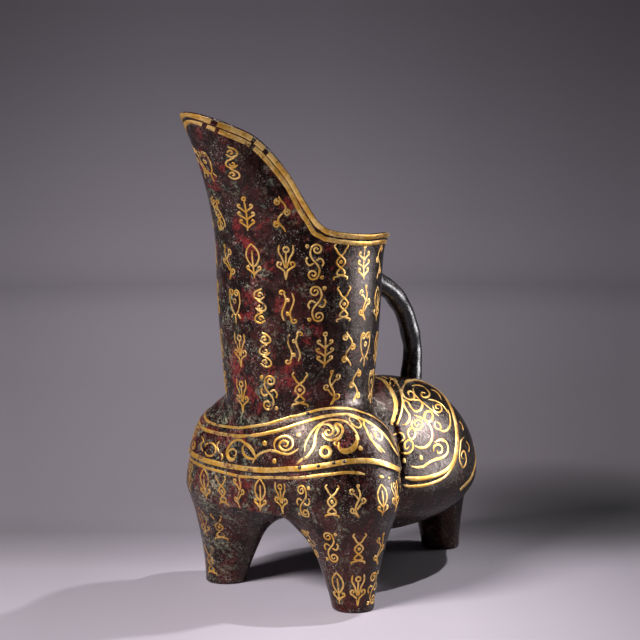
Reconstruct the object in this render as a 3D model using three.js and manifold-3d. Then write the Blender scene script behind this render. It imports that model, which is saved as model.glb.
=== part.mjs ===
// A bronze tripod pouring vessel: three hollow lobes on stout legs, a tall neck that opens
// into a long beak, a rod handle behind it, and flat gold bands laid on the bronze.
// Millimetres, +Z up. The beak points along -X and the rear leg along +X. The castings are
// the same on both sides of the XZ plane, and all is worked out round the neck's axis.
import * as THREE from "three";
import { mergeVertices } from "three/addons/utils/BufferGeometryUtils.js";
import Module from "manifold-3d";

const wasm = await Module();
wasm.setup();

// Casting
const WALL = 4;
const SEAM_GAP = 0.3;
const FOOT_CORE_HEIGHT = 22;

// Legs: where each foot stands, its radius, and where its axis runs to. A leg widens
// upward as a power of the height.
const FOOT_RADIUS = 15.5;
const FRONT_FOOT = { x: -14, y: 63.5 };
const FRONT_LEG_TOP = { x: -10.5, y: 55, z: 73, radius: 37.5 };
const REAR_FOOT_X = 182;
const REAR_LEG_TOP = { x: 176, z: 61.5, radius: 26 };
const LEG_SPREAD_POWER = 1.37;

// Lobes: centre and half sizes, with a half height upward and another downward
const FRONT_LOBE = { x: -7, y: 37.5, z: 97.5, halfX: 47.5, halfY: 50, up: 56, down: 47 };
const REAR_LOBE = { x: 94, y: 0, z: 74.5, halfX: 100, halfY: 67.5, up: 79, down: 41.5 };
const LOBE_BLEND = 13;
const LEG_BLEND = 16;
const NECK_BLEND = 10;
const VALLEY_X = 42;

// Neck and beak
const COLLAR_Z = 168;
const NECK_FOOT_Z = 70;
const NECK_WAIST = { z: 148, radius: 55 };
const NECK_TOP = { z: 262, radius: 62 };
const BEAK_START_Z = 210;
const BEAK_TIP_Z = 363;
const BEAK_REACH = 121.5;
const BEAK_NOSE_RADIUS = 9;
const BEAK_LEAN = 2.17;
const BEAK_NARROWING = 0.69;
const LIP_FLARE = 6.7;
const LIP_FLARE_AT_BEAK = 0.25;
const LIP_FLARE_DEPTH = 9;

// Rim seen from the side, as x and z from the beak's tip to the back lip
const RIM_POINTS = [
  [-BEAK_REACH, BEAK_TIP_Z], [-98, 354.2], [-78, 343.6], [-58, 321.3], [-44.7, 298.3], [-36, 283.5],
  [-26, 277.8], [0, 274.6], [30, 273.6], [NECK_TOP.radius + LIP_FLARE, 265.5],
];
const RIM_SAMPLES = 160;

// Handle: a round rod from the back of the neck down to the top of the rear lobe. Its bend
// is given as shares of its reach out from the neck and of its drop to the widest point.
const HANDLE_RADIUS = 8;
const HANDLE_TOP_Z = 238;
const HANDLE_WIDEST_Z = 166.5;
const HANDLE_REACH_X = 141.5;
const HANDLE_TENON = 6;
const HANDLE_BEND = [
  [0.23, 0.06], [0.45, 0.155], [0.62, 0.25], [0.74, 0.36], [0.85, 0.5], [0.925, 0.665], [0.977, 0.83],
  [1, 1], [0.975, 1.28],
];
const HANDLE_FOOT_SHARE = 0.96;
const HANDLE_SIDES = 12;
const HANDLE_STEPS = 18;

// Gold bands
const BAND_WIDTH = 3.4;
const BAND_HEIGHT = 2.1;
const BAND_SINK = 0.8;
const BAND_GAP = 0.3;
const BAND_STEP = 12;
const BAND_PITCH = 4.8;
const RIM_BAND_EDGE = 0.6;

// Bands of the front lobes: the turn from the beak in degrees and the height of each guide
// point, from the middle of the front to the valley. The left lobe's bands hang lower.
const BELT = {
  right: {
    upper: [[3, 134], [17, 137], [33, 142], [49, 146.3], [65, 148.4], [77, 147.1], [90, 141.3], [102, 130]],
    under: [[3, 127.5], [17, 130.8], [33, 135.4], [48, 140.3], [61, 142.8], [72, 142.6], [80, 139.2],
      [88, 131.8], [94, 120.5], [99, 111.5]],
    lower: [[3, 102.4], [18, 103.5], [34, 106.6], [48, 109.8], [61, 113.2], [69, 114.2], [76, 113.1],
      [83, 110.2], [90, 106], [98, 101]],
    skirt: [[3, 96.3], [24, 98.8], [41, 101.6], [56, 105.6], [65, 106.6], [73, 104.9], [83, 101.8], [92, 97]],
  },
  left: {
    upper: [[3, 133.5], [12, 131], [27, 129.4], [38, 128.6], [50, 129.3], [65, 132.5], [78, 134], [90, 132],
      [102, 125]],
    under: [[3, 127], [12, 125.1], [25, 124], [36, 123.3], [50, 124], [64, 127], [76, 128.3], [84, 126],
      [91, 119], [97, 108]],
    lower: [[3, 102.2], [12, 101.8], [26, 101.6], [38, 102.6], [50, 103.8], [62, 105], [74, 105.5],
      [86, 102.5], [97, 98]],
    skirt: [[3, 95.8], [12, 95], [25, 95.4], [38, 96.8], [50, 98], [62, 99], [74, 99], [86, 95.5], [93, 92]],
  },
};

// Bands of one flank of the rear lobe, as points near its surface
const SADDLE_INNER = [
  [90, 2.5, 153.3], [88, 11.4, 152.2], [83.5, 18.8, 149.9], [79.8, 25.6, 146.7], [74.8, 32.9, 141.8],
  [70.5, 37.6, 137.4], [63.2, 42.3, 131.1], [56, 44.9, 125.5],
];
const SADDLE_OUTER = [
  [96, 2.5, 153], [93.5, 15.8, 151.3], [89.9, 24.9, 147.9], [84.1, 32.4, 143.2], [79.5, 37.2, 139],
  [73.3, 41.9, 133.9], [66, 45.5, 127.8], [59, 47.8, 121.5],
];
const PANEL_EDGE = [
  [99, 24.6, 148], [114, 20, 148.2], [127, 19, 146], [136, 22.5, 141.5], [138, 31, 135.5],
  [133.9, 40.3, 129.5], [128.7, 48.9, 121.5], [120, 58, 109], [112.2, 62.9, 99.2], [104, 65.8, 90.5],
  [94, 66.8, 86.4], [76.7, 66, 84.2], [63, 63.4, 84.5], [53, 60.5, 86.2],
];
const PANEL_OUTER = [
  [126.3, 56.6, 109.1], [122.7, 59.7, 103.6], [118, 62.4, 97.6], [112, 64.8, 91], [105, 66.3, 86],
  [95.9, 67.2, 81.5], [88, 67.2, 79.6], [76.3, 66.3, 78.5], [65.7, 64.7, 78.4], [54, 62, 79.8],
];
const HAUNCH = [
  [178, 33, 100], [171, 42, 91], [161, 50, 83], [149.3, 56.2, 76.6], [140.3, 59.7, 72],
  [129.6, 62.4, 68.9], [119.4, 63.9, 66.3],
];

// Mesh fineness
const CELL = 11;
const NECK_SIDES = 19;
const NECK_CROWDING = 1.45;
const NECK_RINGS = 7;
const RIM_ROWS = [0, 2.5, 5, 8, 11, 15, 20, 27];
const CURVE_SAMPLES = 60;
const SLOPE_STEP = 0.4;
const TURN_STEP = 0.01;
const SETTLE_ROUNDS = 6;
const HALVINGS = 40;
const LEAST_SLOPE = 0.05;
const TINY = 1e-6;
const WELD = 1e-4;
const FAR = 400;

const BRONZE = { color: 0x2b211d, roughness: 0.42, metalness: 0.75 };
const DARK_BRONZE = { color: 0x1d1512, roughness: 0.28, metalness: 0.8 };
const GOLD = { color: 0xd2a03a, roughness: 0.3, metalness: 1.0 };

const vessel = new THREE.Group();

// Small helpers

function clamp01(value) {
  return Math.min(Math.max(value, 0), 1);
}

function mix(a, b, t) {
  return a + (b - a) * t;
}

// Union of two distances with a fillet that reaches `reach` millimetres
function blend(a, b, reach) {
  const h = Math.max(reach - Math.abs(a - b), 0) / reach;
  return Math.min(a, b) - h * h * reach / 4;
}

// Shapes as distances, negative inside

function lobeDistance(x, y, z, lobe, side) {
  const halfZ = z > lobe.z ? lobe.up : lobe.down;
  const dx = (x - lobe.x) / lobe.halfX;
  const dy = (y - side * lobe.y) / lobe.halfY;
  const dz = (z - lobe.z) / halfZ;
  const k0 = Math.hypot(dx, dy, dz);
  const k1 = Math.hypot(dx / lobe.halfX, dy / lobe.halfY, dz / halfZ);
  return k1 < TINY ? -Math.min(lobe.halfX, lobe.halfY, halfZ) : k0 * (k0 - 1) / k1;
}

function legDistance(x, y, z, foot, top) {
  const ax = top.x - foot.x;
  const ay = top.y - foot.y;
  const length2 = ax * ax + ay * ay + top.z * top.z;
  const t = Math.min(((x - foot.x) * ax + (y - foot.y) * ay + z * top.z) / length2, 1);
  const away = Math.hypot(x - foot.x - t * ax, y - foot.y - t * ay, z - t * top.z);
  return away - mix(FOOT_RADIUS, top.radius, Math.pow(Math.max(t, 0), LEG_SPREAD_POWER));
}

function neckRadius(z) {
  const t = clamp01((z - NECK_WAIST.z) / (NECK_TOP.z - NECK_WAIST.z));
  return mix(NECK_WAIST.radius, NECK_TOP.radius, Math.sin(t * Math.PI / 2));
}

function neckRootDistance(x, y, z) {
  return Math.max(Math.hypot(x, y) - neckRadius(z), NECK_FOOT_Z - z);
}

// The cast body under the neck, as one blended shape
function bodyDistance(x, y, z) {
  const side = y < 0 ? -1 : 1;
  const foot = { x: FRONT_FOOT.x, y: side * FRONT_FOOT.y };
  const legTop = { ...FRONT_LEG_TOP, y: side * FRONT_LEG_TOP.y };
  const nearLobe = lobeDistance(x, y, z, FRONT_LOBE, side);
  const farLobe = lobeDistance(x, y, z, FRONT_LOBE, -side);
  let front = blend(nearLobe, farLobe, LOBE_BLEND);
  front = blend(front, legDistance(x, y, z, foot, legTop), LEG_BLEND);
  const rearFoot = { x: REAR_FOOT_X, y: 0 };
  const rearTop = { ...REAR_LEG_TOP, y: 0 };
  let rear = lobeDistance(x, y, z, REAR_LOBE, 1);
  rear = blend(rear, legDistance(x, y, z, rearFoot, rearTop), LEG_BLEND);
  const lobes = blend(front, rear, LOBE_BLEND);
  return blend(lobes, neckRootDistance(x, y, z), NECK_BLEND);
}

function slopeOf(distance, p) {
  const step = SLOPE_STEP;
  return new THREE.Vector3(
    distance(p.x + step, p.y, p.z) - distance(p.x - step, p.y, p.z),
    distance(p.x, p.y + step, p.z) - distance(p.x, p.y - step, p.z),
    distance(p.x, p.y, p.z + step) - distance(p.x, p.y, p.z - step)).divideScalar(2 * step);
}

// Moves a point along the slope of a distance until the distance is zero
function settle(distance, p) {
  for (let i = 0; i < SETTLE_ROUNDS; i++) {
    const slope = slopeOf(distance, p);
    const steepness = Math.max(slope.lengthSq(), LEAST_SLOPE);
    p.addScaledVector(slope, -distance(p.x, p.y, p.z) / steepness);
  }
  return p;
}

// The last value between two bounds at which a test still holds
function lastWhere(low, high, holds) {
  for (let i = 0; i < HALVINGS; i++) {
    const middle = (low + high) / 2;
    if (holds(middle)) low = middle;
    else high = middle;
  }
  return low;
}

// Runs through the cells of a grid from a first index up to the counts
function eachCell(first, counts, visit) {
  for (let i = first; i < counts[0]; i++) {
    for (let j = first; j < counts[1]; j++) {
      for (let k = first; k < counts[2]; k++) visit(i, j, k);
    }
  }
}

// The twelve edges of a cell, as pairs of corners
function cellEdges() {
  const corners = [0, 1, 2, 3, 4, 5, 6, 7];
  const edges = corners.flatMap((a) => [1, 2, 4].map((bit) => [a, a | bit]));
  const offset = (n) => [n & 1, (n >> 1) & 1, n >> 2];
  return edges.filter(([a, b]) => a !== b).map(([a, b]) => [offset(a), offset(b)]);
}

// Closed surface of a distance's zero level, one point for each cell that it crosses
function surfaceOf(distance, box) {
  const counts = ["x", "y", "z"].map((k) => Math.ceil((box.max[k] - box.min[k]) / CELL) + 1);
  const fewer = counts.map((count) => count - 1);
  const at = (i, j, k) => (i * counts[1] + j) * counts[2] + k;
  const corner = (i, j, k) => new THREE.Vector3(i, j, k).multiplyScalar(CELL).add(box.min);
  const values = new Float64Array(counts[0] * counts[1] * counts[2]);
  eachCell(0, counts, (i, j, k) => {
    const p = corner(i, j, k);
    values[at(i, j, k)] = distance(p.x, p.y, p.z);
  });
  const edges = cellEdges();
  const points = [];
  const pointOf = new Int32Array(values.length).fill(-1);
  eachCell(0, fewer, (i, j, k) => {
    const sum = new THREE.Vector3();
    let crossings = 0;
    for (const [a, b] of edges) {
      const va = values[at(i + a[0], j + a[1], k + a[2])];
      const vb = values[at(i + b[0], j + b[1], k + b[2])];
      if ((va < 0) === (vb < 0)) continue;
      const from = corner(i + a[0], j + a[1], k + a[2]);
      sum.add(from.lerp(corner(i + b[0], j + b[1], k + b[2]), va / (va - vb)));
      crossings++;
    }
    if (crossings === 0) return;
    pointOf[at(i, j, k)] = points.length;
    points.push(settle(distance, sum.divideScalar(crossings)));
  });
  const triangles = [];
  const quad = (a, b, c, d, flip) => {
    if (flip) triangles.push(a, c, b, a, d, c);
    else triangles.push(a, b, c, a, c, d);
  };
  eachCell(1, fewer, (i, j, k) => {
    const here = values[at(i, j, k)] < 0;
    const cell = (di, dj, dk) => pointOf[at(i - di, j - dj, k - dk)];
    if (here !== values[at(i + 1, j, k)] < 0) {
      quad(cell(0, 0, 0), cell(0, 1, 0), cell(0, 1, 1), cell(0, 0, 1), !here);
    }
    if (here !== values[at(i, j + 1, k)] < 0) {
      quad(cell(0, 0, 0), cell(0, 0, 1), cell(1, 0, 1), cell(1, 0, 0), !here);
    }
    if (here !== values[at(i, j, k + 1)] < 0) {
      quad(cell(0, 0, 0), cell(1, 0, 0), cell(1, 1, 0), cell(0, 1, 0), !here);
    }
  });
  return meshSolid(points, triangles);
}

// Solids for cutting and joining

function meshSolid(points, triangles) {
  const positions = new Float32Array(points.flatMap((p) => [p.x, p.y, p.z]));
  return new wasm.Manifold(new wasm.Mesh({
    numProp: 3, vertProperties: positions, triVerts: new Uint32Array(triangles),
  }));
}

function geometrySolid(geometry) {
  const bare = geometry.clone();
  bare.deleteAttribute("normal");
  bare.deleteAttribute("uv");
  const merged = mergeVertices(bare, WELD);
  return new wasm.Manifold(new wasm.Mesh({
    numProp: 3,
    vertProperties: new Float32Array(merged.attributes.position.array),
    triVerts: new Uint32Array(merged.index.array),
  }));
}

function solidGeometry(solid) {
  const mesh = solid.getMesh();
  const positions = new Float32Array(mesh.vertProperties);
  const geometry = new THREE.BufferGeometry();
  geometry.setAttribute("position", new THREE.BufferAttribute(positions, 3));
  geometry.setIndex(Array.from(mesh.triVerts));
  geometry.computeVertexNormals();
  return geometry;
}

function boxSolid(min, max) {
  const size = [0, 1, 2].map((n) => max[n] - min[n]);
  const geometry = new THREE.BoxGeometry(...size);
  geometry.translate(min[0] + size[0] / 2, min[1] + size[1] / 2, min[2] + size[2] / 2);
  return geometrySolid(geometry);
}

function place(name, geometry, finish) {
  const mesh = new THREE.Mesh(geometry, new THREE.MeshStandardMaterial(finish));
  mesh.name = name;
  vessel.add(mesh);
}

// Neck and beak: each level is the hull of a round neck and a smaller round nose

function beakNose(z, inset) {
  const t = clamp01((z - BEAK_START_Z) / (BEAK_TIP_Z - BEAK_START_Z));
  const neck = neckRadius(z);
  const radius = neck * Math.pow(1 - t, BEAK_NARROWING) + BEAK_NOSE_RADIUS * t;
  const reach = neck + (BEAK_REACH - neck) * Math.pow(t, BEAK_LEAN);
  return { neck: neck - inset, radius: radius - inset, centre: reach - radius };
}

// Distance from the axis to the wall, at an angle from the beak's direction
function wallRadius(angle, z, inset) {
  const nose = beakNose(z, inset);
  if (nose.centre < TINY) return nose.neck;
  const tangent = Math.acos(clamp01((nose.neck - nose.radius) / nose.centre));
  if (angle >= tangent) return nose.neck;
  const noseAcross = nose.radius * Math.sin(tangent);
  const noseEnd = Math.atan2(noseAcross, nose.centre + nose.radius * Math.cos(tangent));
  if (angle >= noseEnd) return nose.neck / Math.cos(angle - tangent);
  const across = nose.centre * Math.sin(angle);
  return nose.centre * Math.cos(angle) + Math.sqrt(Math.max(nose.radius ** 2 - across ** 2, 0));
}

const RIM_PROFILE = new THREE.SplineCurve(
  RIM_POINTS.map(([x, z]) => new THREE.Vector2(x, z))).getPoints(RIM_SAMPLES);

function rimHeightAt(x) {
  if (x <= RIM_PROFILE[0].x) return RIM_PROFILE[0].y;
  for (let i = 1; i < RIM_PROFILE.length; i++) {
    const a = RIM_PROFILE[i - 1];
    const b = RIM_PROFILE[i];
    if (x <= b.x) return mix(a.y, b.y, (x - a.x) / (b.x - a.x));
  }
  return RIM_PROFILE[RIM_PROFILE.length - 1].y;
}

// Height of the rim at an angle from the beak's direction
function rimHeight(angle) {
  return lastWhere(BEAK_START_Z, BEAK_TIP_Z, (z) => {
    const x = -wallRadius(angle, z, 0) * Math.cos(angle);
    return rimHeightAt(x) > z;
  });
}

// The lip turns outward over the last millimetres, most of all away from the beak
function lipFlare(angle, depth) {
  const share = mix(LIP_FLARE_AT_BEAK, 1, (1 - Math.cos(angle)) / 2);
  return LIP_FLARE * share * Math.exp(-depth / LIP_FLARE_DEPTH);
}

// Point of the neck's wall, `depth` below the rim and `inset` within the outside
function wallPoint(angle, depth, inset) {
  const turn = Math.abs(angle);
  const z = rimHeight(turn) - depth;
  const radius = wallRadius(turn, z, inset) + lipFlare(turn, depth);
  const y = Math.sign(angle) * radius * Math.sin(turn);
  return new THREE.Vector3(-radius * Math.cos(turn), y, z);
}

// Angles round the neck, close together at the beak's tip
function neckAngles() {
  const half = [];
  for (let i = 0; i <= NECK_SIDES; i++) {
    half.push(Math.PI * Math.pow(i / NECK_SIDES, NECK_CROWDING));
  }
  const other = half.slice(1, -1).map((angle) => -angle).reverse();
  return [...half, ...other];
}

// Closed ring of quads between rows of points, one row for each station
function loftRing(rows, closedRound) {
  const triangles = [];
  const count = rows[0].length;
  const last = closedRound ? rows.length : rows.length - 1;
  for (let i = 0; i < last; i++) {
    for (let j = 0; j < count; j++) {
      const a = i * count + j;
      const b = i * count + (j + 1) % count;
      const c = ((i + 1) % rows.length) * count + (j + 1) % count;
      const d = ((i + 1) % rows.length) * count + j;
      triangles.push(a, b, c, a, c, d);
    }
  }
  if (!closedRound) {
    const end = (rows.length - 1) * count;
    for (let j = 1; j < count - 1; j++) {
      triangles.push(0, j + 1, j);
      triangles.push(end, end + j, end + j + 1);
    }
  }
  const geometry = new THREE.BufferGeometry();
  const positions = new Float32Array(rows.flat().flatMap((p) => [p.x, p.y, p.z]));
  geometry.setAttribute("position", new THREE.BufferAttribute(positions, 3));
  geometry.setIndex(triangles);
  return geometry;
}

// A loop whose faces point inward has a negative volume
function outward(geometry) {
  const p = geometry.attributes.position;
  const index = geometry.index.array;
  const a = new THREE.Vector3();
  const b = new THREE.Vector3();
  const c = new THREE.Vector3();
  let volume = 0;
  for (let i = 0; i < index.length; i += 3) {
    a.fromBufferAttribute(p, index[i]);
    b.fromBufferAttribute(p, index[i + 1]);
    c.fromBufferAttribute(p, index[i + 2]);
    volume += a.dot(b.cross(c));
  }
  if (volume >= 0) return geometry;
  for (let i = 0; i < index.length; i += 3) {
    [index[i + 1], index[i + 2]] = [index[i + 2], index[i + 1]];
  }
  return geometry;
}

function neckSolid(out) {
  const base = COLLAR_Z + SEAM_GAP;
  const rows = neckAngles().map((angle) => {
    const height = rimHeight(Math.abs(angle)) - base;
    const start = RIM_ROWS[RIM_ROWS.length - 1];
    const depths = [...RIM_ROWS];
    for (let j = 1; j <= NECK_RINGS; j++) depths.push(mix(start, height, j / NECK_RINGS));
    const outer = depths.map((depth) => wallPoint(angle, depth, -out));
    const inner = depths.map((depth) => wallPoint(angle, depth, WALL));
    return [...outer, ...inner.reverse()];
  });
  return geometrySolid(outward(loftRing(rows, true)));
}

// Body castings: the blended shape, hollowed, and parted along its valleys

function bodyReach() {
  const cellsAcross = Math.ceil((FRONT_LOBE.y + FRONT_LOBE.halfY) / CELL) + 2;
  const halfWidth = (cellsAcross + 0.5) * CELL;
  return {
    min: new THREE.Vector3(-NECK_TOP.radius - 3 * CELL, -halfWidth, -3 * CELL),
    max: new THREE.Vector3(REAR_LOBE.x + REAR_LOBE.halfX + 4 * CELL, halfWidth, COLLAR_Z + 3 * CELL),
  };
}

// Outside of the body, moved outward by `out`
function bodyOutside(out) {
  return surfaceOf((x, y, z) => Math.max(
    bodyDistance(x, y, z) - out, -CELL - z, z - COLLAR_Z - CELL), bodyReach());
}

function bodySections() {
  const shell = bodyOutside(0);
  const hollow = surfaceOf((x, y, z) => Math.max(
    bodyDistance(x, y, z) + WALL, FOOT_CORE_HEIGHT - z, z - COLLAR_Z - CELL), bodyReach());
  const body = shell.subtract(hollow).intersect(boxSolid([-FAR, -FAR, 0], [FAR, FAR, COLLAR_Z]));
  const half = SEAM_GAP / 2;
  const frontCut = VALLEY_X - half;
  return {
    left: body.intersect(boxSolid([-FAR, half, -FAR], [frontCut, FAR, FAR])),
    right: body.intersect(boxSolid([-FAR, -FAR, -FAR], [frontCut, -half, FAR])),
    rear: body.intersect(boxSolid([VALLEY_X + half, -FAR, -FAR], [FAR, FAR, FAR])),
  };
}

// Handle: a rod whose two ends pass through the walls as tenons

function lobeTop(x) {
  return lastWhere(REAR_LOBE.z, COLLAR_Z + FOOT_CORE_HEIGHT, (z) => bodyDistance(x, 0, z) < 0);
}

function handlePath() {
  const neck = neckRadius(HANDLE_TOP_Z);
  const drop = HANDLE_TOP_Z - HANDLE_WIDEST_Z;
  const acrossTo = (share) => mix(neck, HANDLE_REACH_X, share);
  const bend = HANDLE_BEND.map(([out, down]) => [acrossTo(out), HANDLE_TOP_Z - down * drop]);
  const footX = acrossTo(HANDLE_FOOT_SHARE);
  const points = [
    [neck - WALL - HANDLE_TENON, HANDLE_TOP_Z],
    ...bend,
    [footX, lobeTop(footX) - WALL - HANDLE_TENON],
  ];
  return new THREE.CatmullRomCurve3(points.map(([x, z]) => new THREE.Vector3(x, 0, z)));
}

function handleGeometry(radius) {
  const section = new THREE.Shape().absarc(0, 0, radius, 0, 2 * Math.PI);
  return new THREE.ExtrudeGeometry(section, {
    steps: HANDLE_STEPS, curveSegments: HANDLE_SIDES / 2, extrudePath: handlePath(), bevelEnabled: false,
  });
}

// Gold bands

// Band of rectangular section along stations that each give a point and a direction out
function bandGeometry(stations, closedRound) {
  const count = stations.length;
  const last = count - 1;
  const rows = stations.map(({ point, out }, i) => {
    const before = stations[closedRound ? (i + last) % count : Math.max(i - 1, 0)].point;
    const after = stations[closedRound ? (i + 1) % count : Math.min(i + 1, last)].point;
    const along = after.clone().sub(before).normalize();
    const across = along.clone().cross(out).normalize().multiplyScalar(BAND_WIDTH / 2);
    const low = point.clone().addScaledVector(out, -BAND_SINK);
    const high = point.clone().addScaledVector(out, BAND_HEIGHT);
    return [low.clone().sub(across), low.clone().add(across), high.clone().add(across), high.sub(across)];
  });
  return outward(loftRing(rows, closedRound));
}

function largestPiece(solid) {
  return solid.decompose().reduce((best, piece) => (piece.volume() > best.volume() ? piece : best));
}

// How much further down a point lies when it is a given distance square to a sloping rim
function rimStretch(angle) {
  const before = wallPoint(angle - TURN_STEP, 0, 0);
  const after = wallPoint(angle + TURN_STEP, 0, 0);
  return before.distanceTo(after) / Math.hypot(after.x - before.x, after.y - before.y);
}

function rimBand(name, distance) {
  const stations = neckAngles().map((angle) => {
    const depth = distance * rimStretch(angle);
    const point = wallPoint(angle, depth, 0);
    const below = wallPoint(angle, depth + 1, 0).sub(point);
    const beside = wallPoint(angle + TURN_STEP, depth, 0).sub(point);
    const out = beside.cross(below).normalize();
    if (out.x * point.x + out.y * point.y < 0) out.negate();
    return { point, out };
  });
  const band = geometrySolid(bandGeometry(stations, true));
  place(name, solidGeometry(largestPiece(band.subtract(neckSkin))), GOLD);
}

// Stations along a curve that is settled on the body, evenly spaced
function bodyStations(curve) {
  const rough = curve.getPoints(CURVE_SAMPLES).map((p) => settle(bodyDistance, p));
  const track = new THREE.CatmullRomCurve3(rough);
  const steps = Math.max(Math.round(track.getLength() / BAND_STEP), 3);
  return track.getSpacedPoints(steps).map((p) => {
    const point = settle(bodyDistance, p);
    return { point, out: slopeOf(bodyDistance, point).normalize() };
  });
}

// Point of the body at a turn from the beak's direction, in degrees, and at a height
function bodyPoint(turn, z) {
  const angle = THREE.MathUtils.degToRad(turn);
  const [x, y] = [-Math.cos(angle), Math.sin(angle)];
  const radius = lastWhere(NECK_WAIST.radius / 2, 2 * REAR_LOBE.halfX,
    (r) => bodyDistance(r * x, r * y, z) < 0);
  return [radius * x, radius * y, z];
}

function bodyBand(name, points, side) {
  const guide = points.map(([x, y, z]) => new THREE.Vector3(x, side * y, z));
  const stations = bodyStations(new THREE.CatmullRomCurve3(guide));
  const band = geometrySolid(bandGeometry(stations, false));
  place(name, solidGeometry(largestPiece(band.subtract(bodySkin))), GOLD);
}

function lobeBands(word, side) {
  for (const [row, guide] of Object.entries(BELT[word])) {
    bodyBand(`belt_band_${row}_${word}`, guide.map(([turn, z]) => bodyPoint(turn, z)), side);
  }
  bodyBand(`saddle_band_inner_${word}`, SADDLE_INNER, side);
  bodyBand(`saddle_band_outer_${word}`, SADDLE_OUTER, side);
  bodyBand(`panel_band_${word}`, PANEL_EDGE, side);
  bodyBand(`panel_band_outer_${word}`, PANEL_OUTER, side);
  bodyBand(`haunch_band_${word}`, HAUNCH, side);
}

// Assembly

const sections = bodySections();
const bodySkin = bodyOutside(BAND_GAP);
const neckSkin = neckSolid(BAND_GAP);
const handleSocket = geometrySolid(handleGeometry(HANDLE_RADIUS + SEAM_GAP));
place("front_left_lobe", solidGeometry(sections.left), BRONZE);
place("front_right_lobe", solidGeometry(sections.right), BRONZE);
place("rear_lobe", solidGeometry(sections.rear.subtract(handleSocket)), BRONZE);
place("neck_and_spout", solidGeometry(neckSolid(0).subtract(handleSocket)), BRONZE);
place("handle", handleGeometry(HANDLE_RADIUS), DARK_BRONZE);
rimBand("rim_band_upper", RIM_BAND_EDGE + BAND_WIDTH / 2);
rimBand("rim_band_lower", RIM_BAND_EDGE + BAND_WIDTH / 2 + BAND_PITCH);

lobeBands("left", 1);
lobeBands("right", -1);

// The origin is on the ground, under the middle of the vessel's box
const box = new THREE.Box3().setFromObject(vessel, true);
vessel.position.x = -(box.min.x + box.max.x) / 2;

export default vessel;
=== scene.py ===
"""A patinated bronze tripod pitcher with inlaid gold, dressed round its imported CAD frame.

Shapes are worked out in millimetres from the neck's axis, with the beak along -X, and are
turned into metres in the frame's own axes when a mesh is made.
"""

import math

import bmesh
import bpy
import numpy as np
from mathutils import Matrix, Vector


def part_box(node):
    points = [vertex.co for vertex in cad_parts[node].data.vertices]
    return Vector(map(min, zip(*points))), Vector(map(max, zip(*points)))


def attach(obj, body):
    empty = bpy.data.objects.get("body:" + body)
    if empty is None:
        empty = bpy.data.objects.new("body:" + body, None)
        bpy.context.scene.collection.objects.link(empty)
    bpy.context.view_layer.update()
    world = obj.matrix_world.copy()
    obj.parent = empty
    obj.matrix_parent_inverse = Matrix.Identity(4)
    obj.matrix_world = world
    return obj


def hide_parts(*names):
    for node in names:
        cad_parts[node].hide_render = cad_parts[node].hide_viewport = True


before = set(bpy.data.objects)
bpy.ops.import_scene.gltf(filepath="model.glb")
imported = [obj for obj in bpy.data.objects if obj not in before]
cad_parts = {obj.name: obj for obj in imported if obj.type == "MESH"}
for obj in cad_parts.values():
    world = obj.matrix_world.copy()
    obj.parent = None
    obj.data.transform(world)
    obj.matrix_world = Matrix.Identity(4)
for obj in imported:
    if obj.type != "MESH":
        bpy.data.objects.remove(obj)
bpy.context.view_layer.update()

# Casting, as in the CAD model
WALL = 4
FOOT_CORE_HEIGHT = 22
FOOT_RADIUS = 15.5
FRONT_FOOT = (-14, 63.5)
FRONT_LEG_TOP = (-10.5, 55, 73)
FRONT_LEG_TOP_RADIUS = 37.5
REAR_FOOT_X = 182
REAR_LEG_TOP = (176, 0, 61.5)
REAR_LEG_TOP_RADIUS = 26
LEG_SPREAD_POWER = 1.37
FRONT_LOBE = {"centre": (-7, 37.5, 97.5), "half": (47.5, 50), "up": 56, "down": 47}
REAR_LOBE = {"centre": (94, 0, 74.5), "half": (100, 67.5), "up": 79, "down": 41.5}
LOBE_BLEND, LEG_BLEND, NECK_BLEND = 13, 16, 10
COLLAR_Z, NECK_FOOT_Z = 168, 70
NECK_WAIST_Z, NECK_WAIST_RADIUS = 148, 55
NECK_TOP_Z, NECK_TOP_RADIUS = 262, 62
BEAK_START_Z, BEAK_TIP_Z = 210, 363
BEAK_REACH, BEAK_NOSE_RADIUS = 121.5, 9
BEAK_LEAN, BEAK_NARROWING = 2.17, 0.69
LIP_FLARE, LIP_FLARE_DEPTH, LIP_FLARE_AT_TIP = 6.7, 9, 0.25
RIM_POINTS = [(-121.5, 363), (-98, 354.2), (-78, 343.6), (-58, 321.3), (-44.7, 298.3), (-36, 283.5),
              (-26, 277.8), (0, 274.6), (30, 273.6), (68.7, 265.5)]
HANDLE_RADIUS, HANDLE_TOP_Z, HANDLE_WIDEST_Z, HANDLE_REACH_X = 8, 238, 166.5, 141.5
HANDLE_BEND = [(0.23, 0.06), (0.45, 0.155), (0.62, 0.25), (0.74, 0.36), (0.85, 0.5), (0.925, 0.665),
               (0.977, 0.83), (1, 1), (0.975, 1.28), (0.965, 1.48)]
HANDLE_FILLET, HANDLE_FILLET_REACH = 1.6, 0.13
HANDLE_FLATNESS = 0.94
HANDLE_RIPPLES = ((0.22, 31, 0), (0.15, 57, 1))

# Fineness of the skins
BODY_CELL = 1.8
HOLLOW_CELL = 5.0
BODY_LOW, BODY_HIGH = (-72, -100, -6), (206, 100, COLLAR_Z + 8)
SOLE_EDGE_Z = 1.6
NECK_SIDES, NECK_RINGS = 200, 110
TURN_CROWDING, RING_CROWDING = 1.35, 1.3
LIP_ROUNDING = 0.9
HANDLE_SIDES, HANDLE_RINGS = 32, 110
RIM_SAMPLES = 161
TINY, SMALL = 1e-9, 1e-6

# Relief: how far the belts and panels stand above the bronze round them
RELIEF = 1.9
RELIEF_STEP = 1.3
BELT_LEDGE, BELT_TOP_FADE, BELT_END_TURN = 2.6, 4, 112
PANEL_LEDGE, PANEL_START_X = 2.4, 40
SEAM_FADE = 5

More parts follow.
